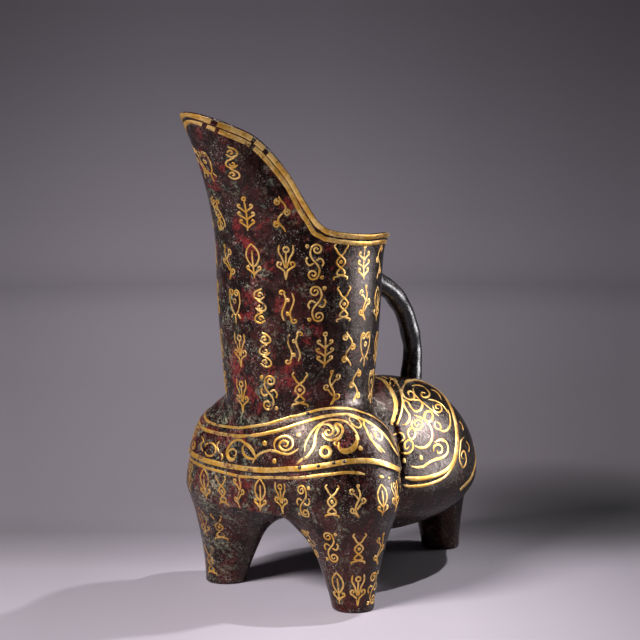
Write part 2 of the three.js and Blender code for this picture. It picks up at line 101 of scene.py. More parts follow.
# Gold: heights over the bronze, the section's corners, and the strips of painted shadow under the belt
BAND_LIFT = 0.22
INLAY_LIFT = 0.13
INLAY_SINK = 0.5
SHOULDER_LIFT, TOP_WIDTH = 0.4, 0.8
BAND_POINTS = 150
SHADOW_LINE_DROP, SHADOW_LINE_WIDTH, SHADOW_LINE_LIFT = 2.7, 1.5, 0.12

# Camera, fitted to the outline in the photograph
CAMERA_TURN = math.radians(-50.32)
CAMERA_RISE = math.radians(6.92)
CAMERA_AWAY = 1397.14
CAMERA_AIM_ACROSS, CAMERA_AIM_Z = 15.51, 206.98
FRAME_PIXELS = 640
FOCAL_PIXELS = 1865.66
SENSOR_MM = 36

AXIS_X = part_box("neck_and_spout")[0].x * 1000 + BEAK_REACH + LIP_FLARE * LIP_FLARE_AT_TIP


# Camera rays

def camera_frame():
    right = np.array([math.cos(CAMERA_TURN), math.sin(CAMERA_TURN), 0.0])
    back = np.array([math.sin(CAMERA_TURN) * math.cos(CAMERA_RISE),
                     -math.cos(CAMERA_TURN) * math.cos(CAMERA_RISE), math.sin(CAMERA_RISE)])
    up = np.cross(back, right)
    place = right * CAMERA_AIM_ACROSS + np.array([0, 0, CAMERA_AIM_Z]) + back * CAMERA_AWAY
    return place, right, up, back


CAMERA_PLACE, CAMERA_RIGHT, CAMERA_UP, CAMERA_BACK = camera_frame()


# Distances, negative inside

def mix(a, b, t):
    return a + (b - a) * t


def smooth(t):
    t = np.clip(t, 0, 1)
    return t * t * (3 - 2 * t)


def blend(a, b, reach):
    h = np.maximum(reach - np.abs(a - b), 0) / reach
    return np.minimum(a, b) - h * h * reach / 4


def lobe_distance(p, lobe, side):
    cx, cy, cz = lobe["centre"]
    half_z = np.where(p[..., 2] > cz, lobe["up"], lobe["down"])
    hx, hy = lobe["half"]
    dx = (p[..., 0] - cx) / hx
    dy = (p[..., 1] - side * cy) / hy
    dz = (p[..., 2] - cz) / half_z
    k0 = np.sqrt(dx * dx + dy * dy + dz * dz)
    k1 = np.sqrt((dx / hx) ** 2 + (dy / hy) ** 2 + (dz / half_z) ** 2)
    return k0 * (k0 - 1) / np.maximum(k1, TINY)


def leg_distance(p, foot_x, foot_y, top, top_y, top_radius):
    ax, ay, az = top[0] - foot_x, top_y - foot_y, top[2]
    length2 = ax * ax + ay * ay + az * az
    t = np.minimum(((p[..., 0] - foot_x) * ax + (p[..., 1] - foot_y) * ay + p[..., 2] * az) / length2, 1)
    away = np.sqrt((p[..., 0] - foot_x - t * ax) ** 2 + (p[..., 1] - foot_y - t * ay) ** 2
                   + (p[..., 2] - t * az) ** 2)
    return away - mix(FOOT_RADIUS, top_radius, np.maximum(t, 0) ** LEG_SPREAD_POWER)


def neck_radius(z):
    t = np.clip((z - NECK_WAIST_Z) / (NECK_TOP_Z - NECK_WAIST_Z), 0, 1)
    return mix(NECK_WAIST_RADIUS, NECK_TOP_RADIUS, np.sin(t * math.pi / 2))


def front_distance(p):
    side = np.where(p[..., 1] < 0, -1, 1)
    lobes = blend(lobe_distance(p, FRONT_LOBE, side), lobe_distance(p, FRONT_LOBE, -side), LOBE_BLEND)
    leg = leg_distance(p, FRONT_FOOT[0], side * FRONT_FOOT[1], FRONT_LEG_TOP,
                       side * FRONT_LEG_TOP[1], FRONT_LEG_TOP_RADIUS)
    return blend(lobes, leg, LEG_BLEND)


def rear_distance(p):
    leg = leg_distance(p, REAR_FOOT_X, 0, REAR_LEG_TOP, 0, REAR_LEG_TOP_RADIUS)
    return blend(lobe_distance(p, REAR_LOBE, 1), leg, LEG_BLEND)


def body_distance(p):
    lobes = blend(front_distance(p), rear_distance(p), LOBE_BLEND)
    root = np.maximum(np.hypot(p[..., 0], p[..., 1]) - neck_radius(p[..., 2]), NECK_FOOT_Z - p[..., 2])
    return blend(lobes, root, NECK_BLEND)


# Neck and beak

def wall_radius(angle, z, inset=0.0):
    t = np.clip((z - BEAK_START_Z) / (BEAK_TIP_Z - BEAK_START_Z), 0, 1)
    neck = neck_radius(z)
    nose = neck * np.power(1 - t, BEAK_NARROWING) + BEAK_NOSE_RADIUS * t
    centre = np.maximum(neck + (BEAK_REACH - neck) * np.power(t, BEAK_LEAN) - nose, SMALL)
    tangent = np.arccos(np.clip((neck - nose) / centre, 0, 1))
    neck, nose = neck - inset, nose - inset
    nose_end = np.arctan2(nose * np.sin(tangent), centre + nose * np.cos(tangent))
    across = centre * np.sin(angle)
    on_nose = centre * np.cos(angle) + np.sqrt(np.maximum(nose ** 2 - across ** 2, 0))
    on_side = neck / np.maximum(np.cos(angle - tangent), 0.05)
    radius = np.where(angle >= tangent, neck, np.where(angle >= nose_end, on_side, on_nose))
    return np.where(centre < 1e-3, neck, radius)


def catmull_rom(points, s):
    """A smooth curve through points, at places counted in spans from the first."""
    last = len(points) - 1
    i = np.minimum(s.astype(int), last - 1)
    t = (s - i)[:, None]
    p0, p1, p2, p3 = (points[np.clip(i + k, 0, last)] for k in (-1, 0, 1, 2))
    v0, v1 = (p2 - p0) / 2, (p3 - p1) / 2
    return (2 * p1 - 2 * p2 + v0 + v1) * t ** 3 + (-3 * p1 + 3 * p2 - 2 * v0 - v1) * t ** 2 + v0 * t + p1


RIM_TABLE = catmull_rom(np.array(RIM_POINTS, float), np.linspace(0, len(RIM_POINTS) - 1, RIM_SAMPLES))


def rim_height(angle):
    low = np.full(np.shape(angle), float(BEAK_START_Z))
    high = np.full(np.shape(angle), float(BEAK_TIP_Z))
    for _ in range(40):
        z = (low + high) / 2
        x = -wall_radius(angle, z) * np.cos(angle)
        above = np.interp(x, RIM_TABLE[:, 0], RIM_TABLE[:, 1]) > z
        low = np.where(above, z, low)
        high = np.where(above, high, z)
    return (low + high) / 2


def lip_flare(angle, depth):
    share = mix(LIP_FLARE_AT_TIP, 1, (1 - np.cos(angle)) / 2)
    return LIP_FLARE * share * np.exp(-np.maximum(depth, 0) / LIP_FLARE_DEPTH)


def wall_point(angle, depth, inset=0.0):
    turn = np.abs(angle)
    z = rim_height(turn) - depth
    radius = wall_radius(turn, z, inset) + lip_flare(turn, depth)
    return np.stack([-radius * np.cos(turn), np.sign(angle) * radius * np.sin(turn), z], -1)


RIM_TURNS = np.linspace(0, math.pi, 721)
RIM_HEIGHTS = rim_height(RIM_TURNS)


def neck_distance(p):
    turn = np.arctan2(np.abs(p[..., 1]), -p[..., 0])
    depth = np.interp(turn, RIM_TURNS, RIM_HEIGHTS) - p[..., 2]
    return np.hypot(p[..., 0], p[..., 1]) - wall_radius(turn, p[..., 2]) - lip_flare(turn, depth)


def vessel_distance(p):
    return np.where(p[..., 2] > COLLAR_Z, neck_distance(p), body_distance(p))


def slope(distance, p, step=0.3):
    columns = []
    for axis in range(3):
        shift = np.zeros(3)
        shift[axis] = step
        columns.append(distance(p + shift) - distance(p - shift))
    return np.stack(columns, -1) / (2 * step)


def settle(distance, p, rounds=4):
    for _ in range(rounds):
        g = slope(distance, p)
        p = p - g * (distance(p) / np.maximum((g * g).sum(-1), 0.05))[..., None]
    return p


def normals_at(p, distance=vessel_distance):
    g = slope(distance, p)
    return g / np.maximum(np.linalg.norm(g, axis=-1, keepdims=True), TINY)


# Guide curves of the gold bands: turn from the beak and height, or x, y and z

BELTS = {
    "right": {
        "upper": [(0, 133.4), (9, 135.3), (17, 137.1), (25, 139.7), (33, 142.2), (41, 144.1), (55, 147.7),
                  (66, 148.3), (77, 147.1), (83, 144.8), (90, 141.3), (96, 136), (103, 129)],
        "under": [(0, 127.1), (9, 128.8), (17, 130.8), (26, 133.1), (33, 135.4), (41, 138.2), (48, 140.5),
                  (55, 142.4), (61, 143.4), (68, 143.9), (74, 143.1), (80, 139.8), (84, 136.6), (88, 131.8),
                  (92, 125.4), (95, 119), (99, 112)],
        "lower": [(0, 102.3), (9, 102.7), (18, 103.5), (27, 105), (34, 106.7), (41, 108), (51, 110.6),
                  (61, 113.3), (66, 114.1), (71, 114), (76, 113.1), (82, 110.7), (89, 106.6), (97, 101.5)],
        "skirt": [(0, 96), (12, 97.1), (33, 100), (41, 101.6), (51, 104.3), (61, 106.4), (65, 106.6),
                  (69, 106), (73, 104.3), (80, 101.8), (92, 97.2), (98, 93.4)],
    },
    "left": {
        "upper": [(0, 133.4), (12, 131), (27, 129.4), (38, 128.5), (50, 129.2), (65, 132.2), (78, 134),
                  (90, 132), (102, 125)],
        "under": [(0, 127.1), (12, 125.2), (25, 124), (36, 123.3), (50, 124), (64, 127), (76, 128.3),
                  (84, 126), (91, 119), (97, 108)],
        "lower": [(0, 102.3), (12, 101.8), (26, 101.6), (38, 102.6), (50, 103.8), (62, 105), (74, 105.5),
                  (86, 102.5), (97, 98)],
        "skirt": [(0, 96), (12, 95), (25, 95.4), (38, 96.8), (50, 98), (62, 99), (74, 99), (86, 95.5),
                  (93, 92)],
    },
}
SIDES = (("left", 1), ("right", -1))
SADDLE_INNER = [(90, 2.5, 153.3), (88, 11.4, 152.2), (83.5, 18.8, 149.9), (79.8, 25.6, 146.7),
                (74.8, 32.9, 141.8), (70.5, 37.6, 137.4), (63.2, 42.3, 131.1), (55.5, 44.9, 125)]
SADDLE_OUTER = [(96, 2.5, 153), (92.8, 15.8, 151.3), (88.9, 24.8, 147.9), (83, 31.9, 143.5),
                (78.6, 36.5, 139.8), (72.5, 41.1, 134.8), (65, 44.7, 129), (57.2, 46.9, 123)]
PANEL_EDGE = [(97.8, 24.6, 148), (105, 21.6, 148.5), (114, 20, 148.2), (127.1, 18.5, 145.9),
              (136, 22, 141.8), (138.4, 30.1, 135.9), (133.9, 40.3, 129.5), (128.7, 48.9, 121.5),
              (122.6, 55.8, 112.7), (117.8, 59.8, 105.9), (112.2, 62.9, 99.2), (106.5, 65.2, 92.4),
              (99.6, 66.4, 88.1), (88.6, 66.8, 85.2), (76.7, 66, 84.2), (66.1, 64.3, 84.1),
              (56.6, 61.9, 85.3), (51, 60, 86.6)]
PANEL_OUTER = [(126.3, 56.6, 109.1), (122.7, 59.7, 103.6), (117.7, 62.4, 98.3), (111.7, 64.8, 91.6),
               (105, 66.3, 86.5), (95.9, 67.2, 81.7), (88, 67.2, 79.8), (76.3, 66.3, 78.5),
               (65.7, 64.7, 78.4), (56.1, 62.3, 79.4), (51, 60.6, 80.6)]
HAUNCH = [(176, 36, 97), (169, 43, 89), (161, 49.5, 82.5), (149.3, 56.2, 76.6), (140.3, 59.7, 72),
          (129.6, 62.4, 68.9), (119.4, 63.9, 66.3)]


def spline(points, count):
    """Points evenly spaced along a smooth curve through the given ones."""
    points = np.asarray(points, float)
    last = len(points) - 1
    return even(catmull_rom(points, np.linspace(0, last, 40 * last + 1)), count)


def even(points, count):
    away = np.concatenate([[0], np.cumsum(np.linalg.norm(np.diff(points, axis=0), axis=1))])
    s = np.linspace(0, away[-1], count)
    return np.stack([np.interp(s, away, points[:, k]) for k in range(points.shape[1])], -1)


SEARCH_REACH = (4.0, 260.0)
SEARCH_ROUNDS = 34


def out_from_axis(angle, z):
    """Points of the vessel at an angle round the neck's axis, found from inside outward."""
    low = np.full(np.shape(angle), SEARCH_REACH[0])
    high = np.full(np.shape(angle), SEARCH_REACH[1])
    for _ in range(SEARCH_ROUNDS):
        r = (low + high) / 2
        p = np.stack([-r * np.cos(angle), r * np.sin(angle), z * np.ones_like(r)], -1)
        inside = vessel_distance(p) < 0
        low = np.where(inside, r, low)
        high = np.where(inside, high, r)
    return p


def belt_path(word, row, drop=0.0):
    fine = spline(BELTS[word][row], BAND_POINTS)
    sign = 1 if word == "left" else -1
    return out_from_axis(sign * np.radians(fine[:, 0]), fine[:, 1] - drop)


def belt_heights(row, flat):
    """Height of a belt row at the turn of each point, on the point's own side."""
    turn = np.degrees(np.arctan2(np.abs(flat[:, 1]), -flat[:, 0]))
    heights = []
    for word, _ in SIDES:
        fine = spline(BELTS[word][row], 200)
        heights.append(np.interp(turn, fine[:, 0], fine[:, 1]))
    return np.where(flat[:, 1] > 0, heights[0], heights[1])


# Relief

def panel_unrolled(p):
    around = np.arctan2(np.abs(p[..., 1]), p[..., 2] - REAR_LOBE["centre"][2])
    return np.stack([p[..., 0], REAR_LOBE["half"][1] * around], -1)


def panel_outline():
    edge = spline(PANEL_EDGE, 60)
    back = spline(SADDLE_OUTER[::-1], 24)
    return panel_unrolled(np.concatenate([edge, back[1:-4]]))


def inside_outline(q, outline):
    """Distance to a closed outline, negative inside."""
    a, b = outline, np.roll(outline, -1, axis=0)
    nearest = np.full(len(q), 1e9)
    crossings = np.zeros(len(q), int)
    for p0, p1 in zip(a, b):
        d = p1 - p0
        t = np.clip(((q - p0) @ d) / max(d @ d, TINY), 0, 1)
        nearest = np.minimum(nearest, np.linalg.norm(q - p0 - t[:, None] * d, axis=1))
        spans = (p0[1] > q[:, 1]) != (p1[1] > q[:, 1])
        rise = d[1] if abs(d[1]) > TINY else TINY
        crossings += spans & (q[:, 0] < p0[0] + (q[:, 1] - p0[1]) * d[0] / rise)
    return np.where(crossings % 2 == 1, -nearest, nearest)


PANEL_OUTLINE = panel_outline()


def relief_at(p):
    flat = p.reshape(-1, 3)
    turn = np.degrees(np.arctan2(np.abs(flat[:, 1]), -flat[:, 0]))
    over = flat[:, 2] - belt_heights("lower", flat) + BELT_LEDGE
    under = belt_heights("upper", flat) + BELT_TOP_FADE - flat[:, 2]
    seam = (rear_distance(flat) - front_distance(flat)) / SEAM_FADE
    belt = smooth(over / RELIEF_STEP) * smooth(under / (2 * BELT_TOP_FADE)) * smooth(seam + 0.4)
    belt = np.where(turn < BELT_END_TURN, belt, 0)
    panel = np.zeros(len(flat))
    near = flat[:, 0] > PANEL_START_X
    if near.any():
        away = inside_outline(panel_unrolled(flat[near]), PANEL_OUTLINE)
        panel[near] = smooth((PANEL_LEDGE - away) / RELIEF_STEP)
    panel = panel * smooth(0.2 - seam)
    below = flat[:, 2] < COLLAR_Z - 2
    return np.where(below, RELIEF * np.maximum(belt, panel), 0).reshape(p.shape[:-1])


# Meshes

def add_object(name, data):
    obj = bpy.data.objects.new(name, data)
    bpy.context.scene.collection.objects.link(obj)
    return obj


def make_object(name, verts, faces, material, replaced=(), sharp=40):
    mesh = bpy.data.meshes.new(name)
    places = (np.asarray(verts, float) + np.array([AXIS_X, 0, 0])) / 1000
    mesh.from_pydata(places.tolist(), [], [list(map(int, f)) for f in faces])
    mesh.validate()
    work = bmesh.new()
    work.from_mesh(mesh)
    bmesh.ops.recalc_face_normals(work, faces=work.faces)
    work.to_mesh(mesh)
    work.free()
    mesh.shade_smooth()
    mesh.set_sharp_from_angle(angle=math.radians(sharp))
    mesh.materials.append(material)
    obj = add_object(name, mesh)
    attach(obj, "root")
    if replaced:
        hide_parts(*replaced)
    return obj


def surface_net(distance, low, high, cell):
    """Points and quads of a distance's zero level."""
    counts = [int(math.ceil((h - l) / cell)) + 1 for l, h in zip(low, high)]
    axes = [l + cell * np.arange(n) for l, n in zip(low, counts)]
    grid = np.stack(np.meshgrid(*axes, indexing="ij"), -1)
    values = np.empty(counts)
    for i in range(counts[0]):
        values[i] = distance(grid[i])
    inside = values < 0
    shape = [n - 1 for n in counts]
    total = np.zeros(shape + [3])
    hits = np.zeros(shape)
    corners = [(a, b, c) for a in (0, 1) for b in (0, 1) for c in (0, 1)]
    window = lambda array, o: array[o[0]:o[0] + shape[0], o[1]:o[1] + shape[1], o[2]:o[2] + shape[2]]
    for a in corners:
        for axis in range(3):
            if a[axis]:
                continue
            b = tuple(v + (k == axis) for k, v in enumerate(a))
            va, vb = window(values, a), window(values, b)
            crossed = window(inside, a) != window(inside, b)
            t = np.where(crossed, va / np.where(crossed, va - vb, 1), 0)
            point = np.broadcast_to(np.array(a, float), t.shape + (3,)).copy()
            point[..., axis] += t
            total += np.where(crossed[..., None], point, 0)
            hits += crossed
    active = hits > 0
    number = np.full(shape, -1)
    number[active] = np.arange(active.sum())
    points = (total[active] / hits[active][:, None] + np.argwhere(active)) * cell + np.array(low)
    quads = []
    for axis in range(3):
        u, v = (axis + 1) % 3, (axis + 2) % 3
        here = np.argwhere(np.take(inside, range(counts[axis] - 1), axis)
                           != np.take(inside, range(1, counts[axis]), axis))
        keep = (here[:, u] > 0) & (here[:, v] > 0) & (here[:, u] < shape[u]) & (here[:, v] < shape[v])
        here = here[keep]
        step_u, step_v = np.eye(3, dtype=int)[u], np.eye(3, dtype=int)[v]
        around = [here, here - step_u, here - step_u - step_v, here - step_v]
        index = np.stack([number[tuple(c.T)] for c in around], 1)
        flip = ~inside[tuple(here.T)]
        index[flip] = index[flip][:, ::-1]
        quads.append(index)
    return points, np.concatenate(quads)


def body_skin(material):
    """The lobes and legs up to the collar, with the relief outside and the hollow inside."""
    solid = lambda p: np.maximum(body_distance(p), -p[..., 2])
    points, quads = surface_net(solid, BODY_LOW, BODY_HIGH, BODY_CELL)
    side = points[:, 2] > SOLE_EDGE_Z
    points[side] = settle(body_distance, points[side])
    n = normals_at(points, body_distance)
    points = np.where(side[:, None], points + n * relief_at(points)[:, None], points)
    points[:, 2] = np.maximum(points[:, 2], 0.0)
    hollow = lambda p: np.maximum(body_distance(p) + WALL, FOOT_CORE_HEIGHT - p[..., 2])
    inner, inner_quads = surface_net(hollow, BODY_LOW, BODY_HIGH, HOLLOW_CELL)
    skin = cut_top(points, quads)
    lining = cut_top(inner, inner_quads[:, ::-1])
    verts = np.concatenate([skin[0], lining[0]])
    faces = skin[1] + [[v + len(skin[0]) for v in f] for f in lining[1]]
    faces += ring_between(verts, open_edges(faces))
    return make_object("body_casting", verts, faces, material,
                       ("front_left_lobe", "front_right_lobe", "rear_lobe"))


def cut_top(points, quads):
    """Cuts a surface off level at the collar."""
    work = bmesh.new()
    made = [work.verts.new(p) for p in points]
    for q in quads:
        work.faces.new([made[i] for i in q])
    parts = list(work.verts) + list(work.edges) + list(work.faces)
    bmesh.ops.bisect_plane(work, geom=parts, plane_co=(0, 0, COLLAR_Z), plane_no=(0, 0, 1), clear_outer=True)
    work.verts.index_update()
    verts = np.array([v.co for v in work.verts])
    faces = [[v.index for v in f.verts] for f in work.faces]
    work.free()
    return verts, faces


def open_edges(faces):
    seen = {}
    for f in faces:
        for a, b in zip(f, f[1:] + f[:1]):
            key = (min(a, b), max(a, b))
            seen[key] = seen.get(key, 0) + 1
    return {k for k, n in seen.items() if n == 1}


def ring_between(verts, edges):
    """Triangles that close the level ring between two open loops round the neck's axis."""
    ends = sorted({v for e in edges for v in e})
    radius = {v: math.hypot(verts[v][0], verts[v][1]) for v in ends}
    middle = (max(radius.values()) + min(radius.values())) / 2
    turn = lambda v: math.atan2(verts[v][1], verts[v][0])
    outer = sorted((v for v in ends if radius[v] > middle), key=turn)
    inner = sorted((v for v in ends if radius[v] <= middle), key=turn)
    faces = []
    i = j = 0
    while i < len(outer) or j < len(inner):
        o, n = outer[i % len(outer)], inner[j % len(inner)]
        next_o = turn(outer[(i + 1) % len(outer)]) + (2 * math.pi if i + 1 >= len(outer) else 0)
        next_n = turn(inner[(j + 1) % len(inner)]) + (2 * math.pi if j + 1 >= len(inner) else 0)
        if j >= len(inner) or (i < len(outer) and next_o <= next_n):
            faces.append([o, outer[(i + 1) % len(outer)], n])
            i += 1
        else:
            faces.append([o, inner[(j + 1) % len(inner)], n])
            j += 1
    return faces


def neck_skin(material):
    """The neck and spout above the collar: up outside, over the rounded lip and down inside."""
    half = math.pi * np.power(np.linspace(0, 1, NECK_SIDES // 2 + 1), TURN_CROWDING)
    angles = np.concatenate([half, -half[-2:0:-1]])
    heights = rim_height(np.abs(angles)) - COLLAR_Z
    share = np.linspace(0, 1, NECK_RINGS) ** RING_CROWDING
    ring = lambda k, inset: wall_point(angles, LIP_ROUNDING + (heights - LIP_ROUNDING) * share[k], inset)
    edge_out = wall_point(angles, LIP_ROUNDING)
    edge_in = wall_point(angles, LIP_ROUNDING, WALL)
    middle = (edge_out + edge_in) / 2 + np.array([0, 0, LIP_ROUNDING])
    rounded = lambda edge: mix(edge, middle, 0.35) + np.array([0, 0, LIP_ROUNDING / 3])
    rows = [ring(k, 0) for k in range(NECK_RINGS - 1, 0, -1)]
    rows += [edge_out, rounded(edge_out), middle, rounded(edge_in), edge_in]
    rows += [ring(k, WALL) for k in range(1, NECK_RINGS, 3)]
    rows.append(wall_point(angles, heights, WALL))
    faces = grid_faces(len(rows), len(angles), wrap_rows=True)
    verts = np.stack(rows).reshape(-1, 3)
    return make_object("neck_casting", verts, faces, material, ("neck_and_spout",))


def grid_faces(rows, columns, wrap_rows=False):
    faces = []
    for i in range(rows if wrap_rows else rows - 1):
        for j in range(columns):
            a = i * columns + j
            b = i * columns + (j + 1) % columns
            c = ((i + 1) % rows) * columns + (j + 1) % columns
            d = ((i + 1) % rows) * columns + j
            faces.append([a, b, c, d])
    return faces


def end_faces(rows, columns):
    """Faces that close the first and last row of a tube."""
    last = (rows - 1) * columns
    return [list(range(columns))[::-1], list(range(last, last + columns))]


# Handle

def handle_path():
    """Curve through the CAD rod's guide points, from inside the neck to inside the lobe."""
    neck = float(neck_radius(np.array(float(HANDLE_TOP_Z))))
    drop = HANDLE_TOP_Z - HANDLE_WIDEST_Z
    bend = [(mix(neck, HANDLE_REACH_X, out), 0, HANDLE_TOP_Z - down * drop) for out, down in HANDLE_BEND]
    return spline([(neck - WALL - 4, 0, HANDLE_TOP_Z)] + bend, HANDLE_RINGS)


def handle_radius(s):
    """Radius at a share of the rod's length: thicker at both roots, slightly uneven between."""
    fillets = math.exp(-(s / HANDLE_FILLET_REACH) ** 2) + math.exp(-((1 - s) / HANDLE_FILLET_REACH) ** 2)
    ripple = sum(size * math.sin(rate * s + start) for size, rate, start in HANDLE_RIPPLES)
    return HANDLE_RADIUS + HANDLE_FILLET * fillets + ripple


def handle_skin(material):
    path = handle_path()
    onward = np.gradient(path, axis=0)
    onward /= np.linalg.norm(onward, axis=1, keepdims=True)
    across = np.array([0.0, 1.0, 0.0])
    turns = np.linspace(0, 2 * math.pi, HANDLE_SIDES, endpoint=False)
    rings = []
    for s, p, t in zip(np.linspace(0, 1, len(path)), path, onward):
        circle = (np.cos(turns)[:, None] * across * HANDLE_FLATNESS
                  + np.sin(turns)[:, None] * np.cross(t, across))
        rings.append(p + handle_radius(s) * circle)
    verts = np.concatenate(rings)
    faces = grid_faces(len(path), HANDLE_SIDES) + end_faces(len(path), HANDLE_SIDES)
    return make_object("handle_rod", verts, faces, material, ("handle",))


# Gold laid on the surface

class Inlay:
    """Collects ribbons of gold and makes one mesh of them."""

    def __init__(self):
        self.verts = []
        self.faces = []
        self.count = 0

    def ribbon(self, points, width, closed=False, lift=INLAY_LIFT):
        points = settle(vessel_distance, np.asarray(points, float), 3)
        n = normals_at(points)
        self.section(points + relief_at(points)[:, None] * n, n, width, lift, closed)

    def section(self, base, n, width, lift, closed):
        if closed:
            onward = np.roll(base, -1, 0) - np.roll(base, 1, 0)
        else:
            onward = np.gradient(base, axis=0)
        onward /= np.maximum(np.linalg.norm(onward, axis=1, keepdims=True), TINY)
        half = (np.broadcast_to(width, len(base)) / 2)[:, None] * np.cross(onward, n)
        top = base + n * lift
        shoulder = base + n * lift * SHOULDER_LIFT
        low = base - n * INLAY_SINK
        rows = [low - half, shoulder - half, top - TOP_WIDTH * half, top + TOP_WIDTH * half,
                shoulder + half, low + half]
        faces = grid_faces(len(base), len(rows), wrap_rows=closed)
        if not closed:
            faces += end_faces(len(base), len(rows))
        self.faces += [[v + self.count for v in f] for f in faces]
        self.verts.append(np.stack(rows, 1).reshape(-1, 3))
        self.count += len(base) * len(rows)

    def make(self, name, material, replaced=(), slot="gold"):
        return make_object(name, np.concatenate(self.verts), self.faces, material, replaced, sharp=50)


def taper(count, width, ends=0.35, reach=0.12):
    s = np.linspace(0, 1, count)
    edge = np.minimum(s, 1 - s) / reach
    return width * mix(ends, 1, smooth(edge))


# Bands

# Name, distance below the lip, width, and breaks as shares of the way round from the beak's tip
RIM_BANDS = (
    ("rim_band_upper", 2.3, 3.6,
     ((-0.2275, -0.2155), (-0.192, -0.183), (-0.104, -0.09), (0.145, 0.155), (0.27, 0.28))),
    ("rim_band_lower", 7.0, 3.3,
     ((-0.187, -0.177), (-0.104, -0.095), (-0.074, -0.06), (0.2, 0.21), (0.38, 0.39))))
RIM_BAND_POINTS, FEWEST_POINTS = 300, 8
TURN_NUDGE, DEPTH_NUDGE = 0.004, 0.6


def rim_inlays(material):
    """Two bands round the lip, with breaks where the gold is worn away."""
    for name, distance, width, gaps in RIM_BANDS:
        inlay = Inlay()
        edges = [-1.0] + [end for gap in gaps for end in gap] + [1.0]
        for start, end in zip(edges[::2], edges[1::2]):
            share = np.linspace(start, end, max(int(RIM_BAND_POINTS * (end - start)), FEWEST_POINTS))
            angle = math.pi * np.sign(share) * np.abs(share) ** TURN_CROWDING
            before, after = angle - TURN_NUDGE, angle + TURN_NUDGE
            run = wall_point(after, 0) - wall_point(before, 0)
            depth = distance * np.linalg.norm(run, axis=1) / np.linalg.norm(run[:, :2], axis=1)
            place = wall_point(angle, depth)
            below = wall_point(angle, depth + DEPTH_NUDGE) - place
            n = np.cross(wall_point(after, depth) - wall_point(before, depth), below)
            n /= np.linalg.norm(n, axis=1, keepdims=True)
            n *= np.sign((n[:, :2] * place[:, :2]).sum(1))[:, None]
            inlay.section(place, n, np.full(len(place), width), BAND_LIFT, False)
        inlay.make(name + "_gold", material, (name,))


# Row, width and how much of the width is left at the ends
BELT_BANDS = (("upper", 2.6, 1.0), ("under", 2.5, 0.6), ("lower", 3.8, 1.0), ("skirt", 2.1, 0.6))
FLANK_BANDS = (
    ("saddle_band_inner", SADDLE_INNER, 3.6), ("saddle_band_outer", SADDLE_OUTER, 1.5),
    ("panel_band", PANEL_EDGE, 3.3), ("panel_band_outer", PANEL_OUTER, 2.2), ("haunch_band", HAUNCH, 3.6))
FLANK_POINTS, BAND_END_REACH = 130, 0.05
# The panel's band is broader by this share, round this share of its way, over this reach
PANEL_SWELL, PANEL_SWELL_AT, PANEL_SWELL_REACH = 0.45, 0.42, 0.16
# The skirt's gold is worn off beyond its middle, but for two scraps
SKIRT_PIECES = ((0, 0.73), (0.80, 0.835), (0.86, 0.885))
WHOLE = ((0, 1),)


def belt_inlays(material, word):
    for row, width, ends in BELT_BANDS:
        inlay = Inlay()
        path = belt_path(word, row)
        for start, end in SKIRT_PIECES if row == "skirt" else WHOLE:
            piece = path[int(BAND_POINTS * start):int(BAND_POINTS * end)]
            inlay.ribbon(piece, taper(len(piece), width, ends, BAND_END_REACH), lift=BAND_LIFT)
        inlay.make(f"belt_band_{row}_{word}_gold", material, (f"belt_band_{row}_{word}",))


def flank_inlays(material, word, side):
    share = np.linspace(0, 1, FLANK_POINTS)
    for name, guide, width in FLANK_BANDS:
        inlay = Inlay()
        widths = taper(FLANK_POINTS, width, 0.5, BAND_END_REACH)
        if name == "panel_band":
            widths *= 1 + PANEL_SWELL * np.exp(-((share - PANEL_SWELL_AT) / PANEL_SWELL_REACH) ** 2)
        inlay.ribbon(spline(guide, FLANK_POINTS) * np.array([1, side, 1]), widths, lift=BAND_LIFT)
        inlay.make(f"{name}_{word}_gold", material, (f"{name}_{word}",))


def body_inlays(material):
    for word, side in SIDES:
        belt_inlays(material, word)
        flank_inlays(material, word, side)


def belt_shadow_lines(material):
    """A dark strip of painted shadow under each belt's lower band, where its ledge casts shade."""
    for word, _ in SIDES:
        inlay = Inlay()
        path = belt_path(word, "lower", SHADOW_LINE_DROP)
        inlay.ribbon(path, taper(len(path), SHADOW_LINE_WIDTH, 0.4, 0.1), lift=SHADOW_LINE_LIFT)
        inlay.make(f"belt_shadow_line_{word}", material, slot="bronze")


# Scrolls placed by pixels of the photograph, on the side that it shows

CAST_ROUNDS, CAST_NEAREST = 260, CAMERA_AWAY - 260.0
CAST_CAUTION, CAST_STEPS = 0.5, (-2, 6)


def cast(pixels):
    """Points of the vessel behind pixels of the 640 by 640 photograph."""
    q = np.asarray(pixels, float)
    centre = FRAME_PIXELS / 2
    ray = (-CAMERA_BACK + CAMERA_RIGHT * ((q[:, :1] - centre) / FOCAL_PIXELS)
           + CAMERA_UP * ((centre - q[:, 1:]) / FOCAL_PIXELS))
    ray /= np.linalg.norm(ray, axis=1, keepdims=True)
    away = np.full(len(q), CAST_NEAREST)
    for _ in range(CAST_ROUNDS):
        gap = vessel_distance(CAMERA_PLACE + ray * away[:, None])
        away += np.clip(gap * CAST_CAUTION, *CAST_STEPS)
    return CAMERA_PLACE + ray * away[:, None]


def other_flank(points):
    return points * np.array([1, -1, 1])


def other_lobe(points):
    """The same place between the belt's bands on the left lobe, whose bands hang lower."""
    mirror = other_flank(points)
    low, high = belt_heights("lower", points), belt_heights("upper", points)
    share = (points[:, 2] - low) / (high - low)
    z = mix(belt_heights("lower", mirror), belt_heights("upper", mirror), share)
    return out_from_axis(np.arctan2(mirror[:, 1], -mirror[:, 0]), z)


